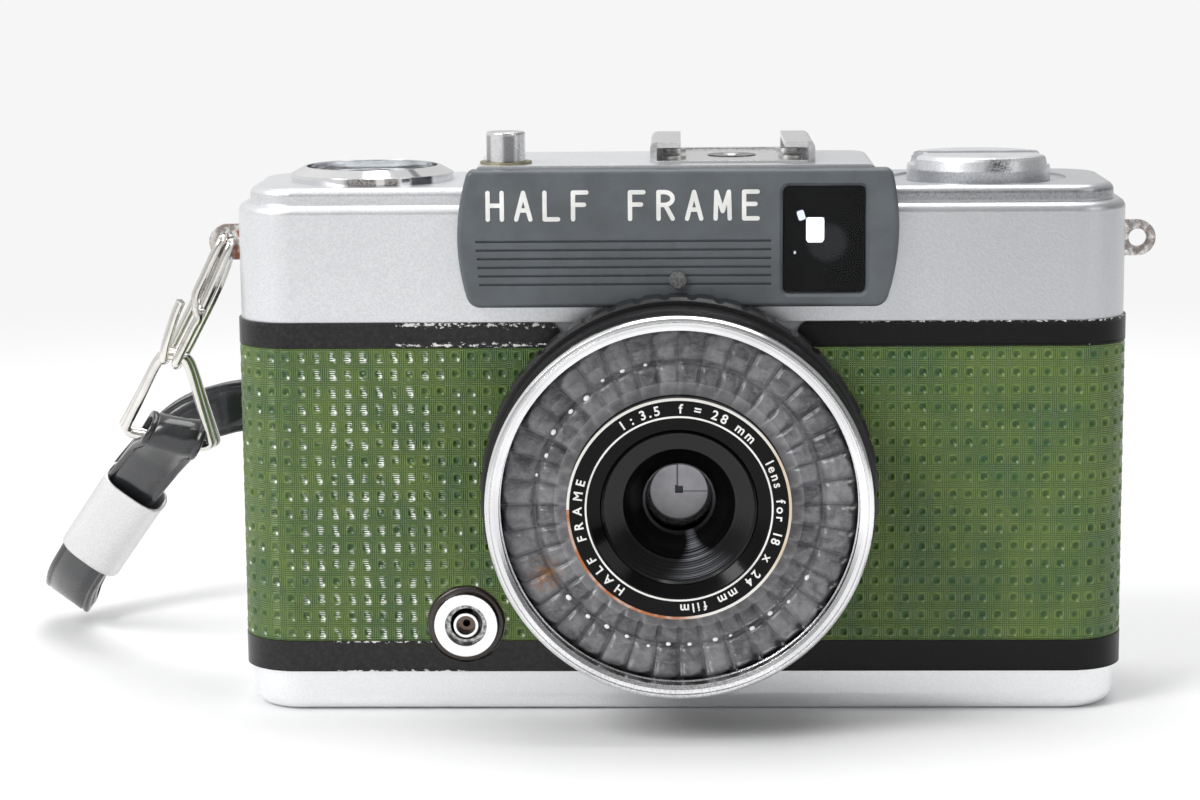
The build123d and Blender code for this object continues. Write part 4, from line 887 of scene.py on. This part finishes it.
def glints():
    """Small bright tips near the meeting line of the two rows of facets: beads coloured white as painted
    glints.
    """
    verts, faces = [], []
    for k in range(FACETS):
        degrees = 360 * (k + 0.5) / FACETS
        if not (95 < degrees < 175 or 215 < degrees < 330):
            continue
        a = math.radians(degrees + random.uniform(-1.5, 1.5))
        r = BEAD_R + random.uniform(-0.25, 0.5)
        centre = np.array((LENS[0] + r * math.cos(a), BEAD_Y, LENS[1] + r * math.sin(a)))
        out = np.array((math.cos(a), 0.0, math.sin(a)))
        round_ = np.array((-math.sin(a), 0.0, math.cos(a)))
        base = len(verts)
        size = random.uniform(0.16, 0.32)
        for i in range(5):
            lift = math.sin(i / 4 * math.pi / 2)
            rad = math.cos(i / 4 * math.pi / 2)
            for j in range(12):
                b = 2 * math.pi * j / 12
                p = centre + size * rad * math.cos(b) * out + 1.3 * size * rad * math.sin(b) * round_
                verts.append(p + np.array((0.0, -0.2 * lift, 0.0)))
        for f in grid_faces(5, 12, close_cols=True):
            faces.append(tuple(base + i for i in f))
    piece("cell_glint_beads", verts, faces, "clear_plastic", material=SLOTS["cell_grey"],
          vectors={"facet": [(0.6, 0.0, 1.0)] * len(verts)})


glints()


# ------------------------------------------------------------------ rings and lettering
def circle(centre, r, y, count):
    """Corners round an axis that runs from front to back."""
    turns = [2 * math.pi * j / count for j in range(count)]
    return [(centre[0] + r * math.cos(a), y, centre[1] + r * math.sin(a)) for a in turns]


def flat_ring(name, r0, r1, y, finish, lift=0.05):
    verts, count = [], 192
    for r, dy in ((r0, lift), (r0, 0.0), (r1, 0.0), (r1, lift)):
        verts += circle(LENS, r, y + dy, count)
    piece(name, verts, grid_faces(4, count, close_cols=True), "black_metal", smooth=False, material=finish)


flat_ring("name_ring_inner_line", 11.02, 11.24, -29.46, WHITE_PAINT)
flat_ring("name_ring_outer_line", 13.10, 13.42, -29.56, COPPER_LINE, lift=0.25)


TEXT_R, TEXT_Y = 12.17, -29.49


def glyph(character, height):
    """Flat outline of one character as (verts, faces, advance), from the built-in typeface."""
    curve = bpy.data.curves.new("glyph", "FONT")
    curve.body = character
    curve.size = height / 0.73
    curve.extrude = 0.03
    curve.resolution_u = 4
    curve.offset = 0.028 * height
    holder = add("glyph", curve)
    bpy.context.view_layer.update()
    mesh = bpy.data.meshes.new_from_object(holder)
    verts = [tuple(v.co) for v in mesh.vertices]
    faces = [tuple(p.vertices) for p in mesh.polygons]
    bpy.data.objects.remove(holder)
    bpy.data.curves.remove(curve)
    bpy.data.meshes.remove(mesh)
    wide = max((v[0] for v in verts), default=0.0)
    return verts, faces, wide


def ring_text(name, text, start_deg, height, spacing, gap):
    """Lettering that runs clockwise round the lens with its feet towards the centre."""
    verts, faces, angle = [], [], math.radians(start_deg)
    for character in text:
        if character == " ":
            angle += gap / TEXT_R
            continue
        g_verts, g_faces, wide = glyph(character, height)
        low = min(v[0] for v in g_verts)
        half = (wide - low) / 2
        angle += half / TEXT_R
        out = (math.sin(angle), math.cos(angle))
        ahead = (math.cos(angle), -math.sin(angle))
        base = len(verts)
        for gx, gy, gz in g_verts:
            u, v = gx - low - half, gy - height / 2
            x = LENS[0] + out[0] * (TEXT_R + v) + ahead[0] * u
            z = LENS[1] + out[1] * (TEXT_R + v) + ahead[1] * u
            verts.append((x, TEXT_Y - gz, z))
        faces += [tuple(base + i for i in f) for f in g_faces]
        angle += (half + spacing) / TEXT_R
    piece(name, verts, faces, "black_metal", smooth=False, material=WHITE_PAINT)


# name, text, start angle clockwise from the top, letter height, letter gap, word gap
RING_TEXTS = (("text_aperture", "1 : 3.5", -34, 1.15, 0.42, 0.6),
              ("text_focal_length", "f = 28 mm", 0, 1.15, 0.46, 0.9),
              ("text_format", "lens for 18 x 24 mm film", 62, 1.1, 0.42, 1.1),
              ("text_kind", "HALF FRAME", 214, 1.1, 0.8, 1.5))
for ring_line in RING_TEXTS:
    ring_text(*ring_line)


# strokes of the fascia's own letters, each in a unit box
BOWL_TURNS = [math.radians(90 - 180 * i / 10) for i in range(11)]
BOWL = [(0.42 + 0.58 * math.cos(a), 0.76 + 0.24 * math.sin(a)) for a in BOWL_TURNS]
LETTERS = {
    "H": [[(0, 0), (0, 1)], [(1, 0), (1, 1)], [(0, 0.52), (1, 0.52)]],
    "A": [[(0, 0), (0.5, 1), (1, 0)], [(0.2, 0.34), (0.8, 0.34)]],
    "L": [[(0, 1), (0, 0), (0.95, 0)]],
    "F": [[(0, 0), (0, 1), (0.95, 1)], [(0, 0.54), (0.78, 0.54)]],
    "R": [[(0, 0), (0, 1), (0.42, 1)] + BOWL + [(0, 0.52)], [(0.48, 0.52), (1, 0)]],
    "M": [[(0, 0), (0.06, 1), (0.5, 0.28), (0.94, 1), (1, 0)]],
    "E": [[(0.95, 1), (0, 1), (0, 0), (0.95, 0)], [(0, 0.54), (0.8, 0.54)]],
}
HOOD_Y, STROKE = -16.0, 0.27


def stroke_prism(a, b, verts, faces, rise):
    """Round-ended flat bar between two points on the fascia."""
    a, b = np.array(a, float), np.array(b, float)
    d = b - a
    base_angle = math.atan2(d[1], d[0])
    ring = []
    for centre, start in ((b, -90), (a, 90)):
        for i in range(9):
            t = base_angle + math.radians(start + 180 * i / 8)
            ring.append(centre + STROKE * np.array((math.cos(t), math.sin(t))))
    base, n = len(verts), len(ring)
    for y, shrink in ((HOOD_Y + 0.02, 1.0), (HOOD_Y - 0.045 - rise, 1.0), (HOOD_Y - 0.055 - rise, 0.95)):
        for p in ring:
            end = b if np.linalg.norm(p - b) < np.linalg.norm(p - a) else a
            q = end + (p - end) * shrink
            verts.append((q[0], y, q[1]))
    for level in (0, 1):
        for i in range(n):
            j = (i + 1) % n
            faces.append((base + level * n + i, base + level * n + j, base + (level + 1) * n + j,
                          base + (level + 1) * n + i))
    faces.append(tuple(base + 2 * n + i for i in range(n)))


def hood_letters():
    text, x0, x1, z0, z1 = "HALF FRAME", -23.45, 9.45, 62.50, 65.75
    wide = 1.72
    pitch = (x1 - x0 - wide) / (len(text) - 1)
    verts, faces = [], []
    for i, character in enumerate(text):
        for line_index, line in enumerate(LETTERS.get(character, [])):
            spots = [(x0 + i * pitch + u * wide, z0 + v * (z1 - z0)) for u, v in line]
            for k, (a, b) in enumerate(zip(spots, spots[1:])):
                stroke_prism(a, b, verts, faces, 0.002 * k + 0.013 * line_index)
    piece("fascia_letters", verts, faces, "hood_plastic", smooth=False, material=WHITE_PAINT)


hood_letters()


# ------------------------------------------------------------------ small fittings
def sync_surround():
    """Painted ring between the covering and the flash socket."""
    profile = ((3.96, -13.2), (3.96, -13.45), (4.15, -13.56), (4.5, -13.54), (4.75, -13.42), (4.8, -13.2))
    count = 96
    verts = []
    for r, y in profile:
        for j in range(count):
            a = 2 * math.pi * j / count
            wobble = 1 + 0.006 * math.sin(5 * a + 0.7) + 0.004 * math.sin(11 * a)
            verts.append((SYNC[0] + r * wobble * math.cos(a), y, SYNC[1] + r * wobble * math.sin(a)))
    piece("sync_surround", verts, grid_faces(len(profile), count, close_cols=True), "black_trim",
          material=BROWN_PAINT)


sync_surround()


SHADE_SHEET_Y, SHADE_SHEET_BACK_Y = -14.16, -14.10
GLOW_PATCH_Y, GHOST_Y = -14.13, -14.18


def finder_shade_sheet():
    """Black sheet behind the finder's front pane that stands for the shade inside the finder, with one small
    clear opening.
    """
    outer = (12.55, 22.45, 53.3, 66.3)
    inner = (15.33, 17.54, 59.31, 62.39)
    verts, faces = [], []
    for y in (SHADE_SHEET_Y, SHADE_SHEET_BACK_Y):
        for x0, x1, z0, z1 in (outer, inner):
            verts += [(x0, y, z0), (x1, y, z0), (x1, y, z1), (x0, y, z1)]
    for k in range(4):
        n = (k + 1) % 4
        faces.append((k, n, 4 + n, 4 + k))
        faces.append((8 + n, 8 + k, 12 + k, 12 + n))
        faces.append((4 + k, 4 + n, 12 + n, 12 + k))
        faces.append((n, k, 8 + k, 8 + n))
    # a dark sheet put in as painted shade
    piece("finder_shade_sheet", verts, faces, "black_plastic", smooth=False, material=FINDER_BLACK)


finder_shade_sheet()


def finder_ghosts():
    """Glowing patches that stand for the eyepiece seen through the finder and two small ghosts."""
    verts, faces = [], []

    def patch(cx, cz, half_w, half_h, y, tilt=0.0):
        base, steps = len(verts), 20
        for k in range(steps):
            a = 2 * math.pi * k / steps
            u = half_w * max(min(1.25 * math.cos(a), 1.0), -1.0)
            v = half_h * max(min(1.25 * math.sin(a), 1.0), -1.0)
            verts.append((cx + u * math.cos(tilt) - v * math.sin(tilt), y,
                          cz + u * math.sin(tilt) + v * math.cos(tilt)))
        faces.append(tuple(base + k for k in range(steps)))

    patch(16.43, 60.85, 1.12, 1.58, GLOW_PATCH_Y)
    piece("finder_bright", verts, faces, "dial_white", smooth=False, material=FINDER_GLOW)
    verts, faces = [], []
    patch(14.72, 62.65, 0.44, 0.60, GHOST_Y, 0.3)
    patch(13.95, 58.1, 0.12, 0.18, GHOST_Y)
    piece("finder_ghosts", verts, faces, "dial_white", smooth=False, material=GHOST_GLOW)


finder_ghosts()


def counter_mask():
    """Satin disc under the clear cover, with a window over the dial's numbers."""
    z, r_out, steps = 66.35, 8.2, 144
    opening = (math.radians(40), math.radians(140))
    radii = (0.0, 3.3, 7.3, r_out)
    verts, faces = [], []
    for r in radii:
        for j in range(steps):
            a = 2 * math.pi * j / steps
            verts.append((WIND[0] + r * math.cos(a), WIND[1] + r * math.sin(a), z))
    for i in range(3):
        for j in range(steps):
            a = 2 * math.pi * (j + 0.5) / steps
            if i == 1 and opening[0] < a < opening[1]:
                continue
            k = (j + 1) % steps
            faces.append((i * steps + j, i * steps + k, (i + 1) * steps + k, (i + 1) * steps + j))
    piece("counter_mask", verts, faces, "satin_silver", smooth=False, material=PALE_DISC)


DIAL_TOP, MARK_R = 65.93, 5.2


def dial_numbers():
    """Frame numbers 0 to 66 by sixes round the dial, with a tick between."""
    verts, faces = [], []
    for i in range(24):
        angle = 2 * math.pi * i / 24 + math.pi / 2
        out = np.array((math.cos(angle), math.sin(angle)))
        side = np.array((math.sin(angle), -math.cos(angle)))
        if i % 2:
            base = len(verts)
            for r, u in ((MARK_R, -0.09), (6.4, -0.09), (6.4, 0.09), (MARK_R, 0.09)):
                p = out * r + side * u
                verts.append((WIND[0] + p[0], WIND[1] + p[1], DIAL_TOP))
            faces.append(tuple(base + k for k in (0, 1, 2, 3)))
            continue
        x = 0.0
        for character in str(i * 3):
            g_verts, g_faces, wide = glyph(character, 1.3)
            base = len(verts)
            for gx, gy, gz in g_verts:
                p = out * (MARK_R + gy) + side * (gx + x - 0.6)
                verts.append((WIND[0] + p[0], WIND[1] + p[1], DIAL_TOP + gz))
            faces += [tuple(base + k for k in f) for f in g_faces]
            x += wide + 0.2
    piece("dial_numbers", verts, faces, "dial_white", body="counter_dial", smooth=False, material=DIAL_INK)


counter_mask()
dial_numbers()


# ------------------------------------------------------------------ wire link and ring
WIRE = 0.60


def wire_link():
    """Two turns of nickel wire through the lug's eye, kinked half-way and open at one tip."""
    down = unit(np.array(RING_APEX) - np.array(LUG))
    right = unit(np.cross(down, (0.0, 1.0, 0.0)))
    if right[0] < 0:
        right = -right
    reach = float(np.linalg.norm(np.array(RING_APEX) - np.array(LUG)))

    def at(length, across, y):
        p = np.array(LUG) + down * length + right * across
        return (p[0], y, p[2])

    depth, gap = 1.35, 0.70
    end = reach + 0.9
    # along from the eye in mm, then across in gaps and backwards in depths
    turns = ((9.2, 1, -1), (5.0, 1, -1), (1.2, 0.9, -1), (-0.1, 0.85, -0.75), (-0.45, 0.8, 0),
             (-0.1, 0.85, 0.75), (1.2, 1.2, 1), (5.0, 1.7, 1), (9.0, 1.7, 1), (end - 1.8, 1.3, 1),
             (end - 0.5, 1, 0.7), (end, 0.9, 0), (end - 0.5, 0.8, -0.8), (end - 1.8, 0.8, -1),
             (11.6, 1, -1), (10.3, 1.1, -1), (9.0, -0.2, -1), (7.6, -1, -1), (5.0, -1, -1), (1.2, -1, -1),
             (-0.1, -0.85, -0.75), (-0.45, -0.8, 0), (-0.1, -0.85, 0.75), (1.2, -1, 1), (7.0, -1, 1),
             (end - 2.0, -1.4, 1), (end - 0.4, -1.5, 0.7), (end + 0.1, -1.5, 0), (end - 0.4, -1.6, -0.8),
             (end - 2.0, -2.2, -1), (11.5, -2.9, -1), (9.3, -3.0, -1))
    path = [at(along, gap * across, depth * back) for along, across, back in turns]
    verts, faces = tube(smooth_path(path, 7), WIRE, 16)
    piece("wire_link", verts, faces, "nickel_wire", body="strap_link", replaces=("strap_link",))


def wire_ring():
    """Two turns of wire bent to a triangle, its base in the strap's small loop."""
    apex, bar = np.array(RING_APEX), np.array(RING_BAR)
    down = unit(bar - apex)
    along = unit(BAR_ALONG)
    normal = unit(np.cross(along, down))
    length = float(np.linalg.norm(bar - apex))
    turn = [(0.0, 1.3), (-0.35, 0.0), (0.0, -1.3), (1.6, -2.3), (length * 0.5, -4.0), (length - 2.0, -5.6),
            (length - 0.7, -5.9), (length, -4.9), (length + 0.05, -2.5), (length + 0.05, 0.0),
            (length + 0.05, 2.5), (length, 4.9), (length - 0.7, 5.9), (length - 2.0, 5.6),
            (length * 0.5, 4.0), (1.6, 2.3)]
    path, total = [], 2 * len(turn)
    for i in range(total + 1):
        d, a = turn[(i + 9) % len(turn)]
        t = i / total - 0.5
        path.append(apex + down * (d + 0.5 * t) + along * a * (1 + 0.16 * t) + normal * 1.9 * t)
    verts, faces = tube(smooth_path(path, 6), WIRE, 16)
    piece("wire_ring", verts, faces, "nickel_wire", body="strap_ring", replaces=("strap_ring",))


wire_link()
wire_ring()


# ------------------------------------------------------------------ wrist strap
BAND_WIDE, BAND_THICK, LAYER = 7.2, 1.15, 0.64


def strap_line():
    """Centre line of a loop pressed flat: out along one layer, round the far fold, back, round the bar."""
    centre = smooth_path(STRAP_POINTS, 8)
    across = smooth_path(STRAP_ACROSS, 8)
    n = len(centre)
    rows = []
    for i in range(n):
        along = unit(centre[min(i + 1, n - 1)] - centre[max(i - 1, 0)])
        side = unit(across[i] - along * across[i].dot(along))
        rows.append((centre[i], side, unit(np.cross(along, side))))
    bar = np.array(RING_BAR)
    tail = unit(rows[0][0] - bar)
    along_bar = unit(BAR_ALONG)
    cross = unit(np.cross(tail, along_bar))
    if cross.dot(rows[0][2]) < 0:
        cross = -cross
    line = [(p + thick * LAYER, side) for p, side, thick in rows]
    end_p, end_side, end_thick = rows[-1]
    onward = unit(rows[-1][0] - rows[-2][0])
    for k in range(1, 8):
        a = math.pi * k / 8
        line.append((end_p + onward * 1.5 * math.sin(a) + end_thick * LAYER * math.cos(a), end_side))
    line += [(p - thick * LAYER, side) for p, side, thick in reversed(rows)]
    for k in range(0, 15):
        a = math.radians(-118 + 236 * k / 14)
        line.append((bar - tail * (0.9 + 2.2 * math.cos(a)) + cross * 1.9 * math.sin(a), along_bar))
    return line


def wrist_strap():
    line = strap_line()
    n = len(line)
    # under side with a stitched groove near each edge; the upper side mirrors it
    under = ((-1, -0.55), (-0.97, -0.9), (-0.90, -1.0), (-0.82, -1.0), (-0.79, -0.80), (-0.74, -0.80),
             (-0.71, -1.0), (-0.35, -1.0), (0.35, -1.0), (0.71, -1.0), (0.74, -0.80), (0.79, -0.80),
             (0.82, -1.0), (0.90, -1.0), (0.97, -0.9), (1, -0.55))
    profile = [(turn * u * BAND_WIDE / 2, turn * v * BAND_THICK / 2) for turn in (1, -1) for u, v in under]
    verts = []
    for i, (p, side) in enumerate(line):
        along = unit(line[(i + 1) % n][0] - line[i - 1][0])
        side = unit(np.array(side) - along * np.array(side).dot(along))
        thick = np.cross(along, side)
        for u, v in profile:
            verts.append(p + side * u + thick * v)
    faces = grid_faces(n, len(profile), close_cols=True, close_rows=True)
    piece("strap_band", verts, faces, "vinyl", body="wrist_strap", replaces=("wrist_strap",))


wrist_strap()


def ferrule():
    """Flattened sleeve with softly rolled, slightly uneven mouths."""
    start, end = np.array(STRAP_POINTS[1]), np.array(STRAP_POINTS[3])
    along = unit(end - start)
    across = np.array(STRAP_ACROSS[1])
    side = unit(across - along * across.dot(along))
    thick = np.cross(along, side)
    centre_shift = side * 0.45
    length = float(np.linalg.norm(end - start))
    steps = 64
    rows = [(-0.9, 0.90), (-1.0, 0.96), (-0.9, 1.0), (-0.6, 1.02), (0.2, 1.0), (length * 0.5, 1.0),
            (length - 0.5, 1.0), (length - 0.1, 1.01), (length + 0.05, 0.97), (length, 0.91),
            (length - 1.2, 0.90)]
    verts = []
    for d, grow in rows:
        for j in range(steps):
            a = 2 * math.pi * j / steps
            c, q = math.cos(a), math.sin(a)
            u = 4.5 * math.copysign(abs(c) ** 0.62, c)
            v = 2.35 * math.copysign(abs(q) ** 0.72, q)
            dent = 0.10 * math.sin(3 * a + 0.8) * (1.0 if d < 0.0 else 0.2)
            verts.append(start + centre_shift + along * (d + dent) + side * u * grow + thick * v * grow)
    faces = grid_faces(len(rows), steps, close_cols=True, close_rows=True)
    piece("strap_ferrule", verts, faces, "ferrule_metal", body="wrist_strap", replaces=("ferrule",))


ferrule()


# ------------------------------------------------------------------ studio
CAMERA_AT = (-0.238, -383.79, 100.79)
TILT, YAW, ROLL = math.radians(9.352), math.radians(-1.514), math.radians(-0.448)
FOCAL, SENSOR = 91.07, 36.0
BACKDROP = srgb(246, 246, 246)
FLOOR_HALF = 3.0  # metres


def camera():
    forward = Vector((math.sin(YAW) * math.cos(TILT), math.cos(YAW) * math.cos(TILT), -math.sin(TILT)))
    level = Vector((math.cos(YAW), -math.sin(YAW), 0.0))
    upright = level.cross(forward)
    right = math.cos(ROLL) * level + math.sin(ROLL) * upright
    up = -math.sin(ROLL) * level + math.cos(ROLL) * upright
    data = bpy.data.cameras.new("camera")
    data.lens, data.sensor_width, data.sensor_fit = FOCAL, SENSOR, "HORIZONTAL"
    data.clip_start, data.clip_end = 0.01, 20.0
    made = add("camera", data)
    turn = Matrix((right, up, -forward)).transposed().to_4x4()
    made.matrix_world = Matrix.Translation(Vector(CAMERA_AT) * MM) @ turn
    scene.camera = made


def floor():
    s = material("studio_floor")
    where = s.place()
    length = s.feed(s.node("ShaderNodeVectorMath", operation="LENGTH"), {0: where})
    far = s.fit(length.outputs["Value"], 0.16, 0.42)
    grain = s.noise(where, 900.0, 3.0)
    paper = s.mix(s.times(grain, 0.05), (0.86, 0.86, 0.865), (0.80, 0.80, 0.80))
    diffuse = s.feed(s.node("ShaderNodeBsdfDiffuse"), {0: paper})
    glow = s.feed(s.node("ShaderNodeEmission"), {0: rgba(BACKDROP)})
    mesh = bpy.data.meshes.new("studio_floor")
    corners = [(x * FLOOR_HALF, y * FLOOR_HALF, 0) for x, y in ((-1, -1), (1, -1), (1, 1), (-1, 1))]
    mesh.from_pydata(corners, [], [(0, 1, 2, 3)])
    mesh.materials.append(s.blend(far, diffuse.outputs[0], glow.outputs[0]))
    add("studio_floor", mesh)


def softbox(name, place, target, width, height, watts):
    data = bpy.data.lights.new(name, "AREA")
    data.shape, data.size, data.size_y = "RECTANGLE", width, height
    data.energy = watts
    made = add(name, data)
    made.location = place
    made.rotation_mode = "QUATERNION"
    made.rotation_quaternion = (Vector(target) - Vector(place)).to_track_quat("-Z", "Y")


def world():
    """Room light, bright overhead and left and dimmer to the right front; the camera sees the backdrop."""
    scene.world = bpy.data.worlds.new("studio")
    s = Nodes(scene.world, "ShaderNodeOutputWorld")
    x, y, z = s.split(s.node("ShaderNodeTexCoord").outputs["Generated"])
    level = s.times_plus(z, 0.25, 0.60)
    level = s.times_plus(x, -0.40, level)
    level = s.times_plus(y, 0.22, level)
    room = s.feed(s.node("ShaderNodeBackground"), {"Strength": level})
    seen = s.feed(s.node("ShaderNodeBackground"), {"Color": rgba(BACKDROP)})
    camera_ray = s.node("ShaderNodeLightPath").outputs["Is Camera Ray"]
    s.blend(camera_ray, room.outputs[0], seen.outputs[0])


camera()
floor()
world()
softbox("key_left", (-0.85, -0.75, 0.95), (-0.02, 0.0, 0.03), 0.55, 0.75, 12.0)
softbox("top", (0.1, 0.15, 1.2), (0.0, 0.0, 0.0), 0.9, 0.7, 7.0)
softbox("fill_right", (1.1, -0.9, 0.6), (0.0, 0.0, 0.03), 0.5, 0.7, 2.0)
scene.view_settings.view_transform = "Standard"
scene.view_settings.look = "None"
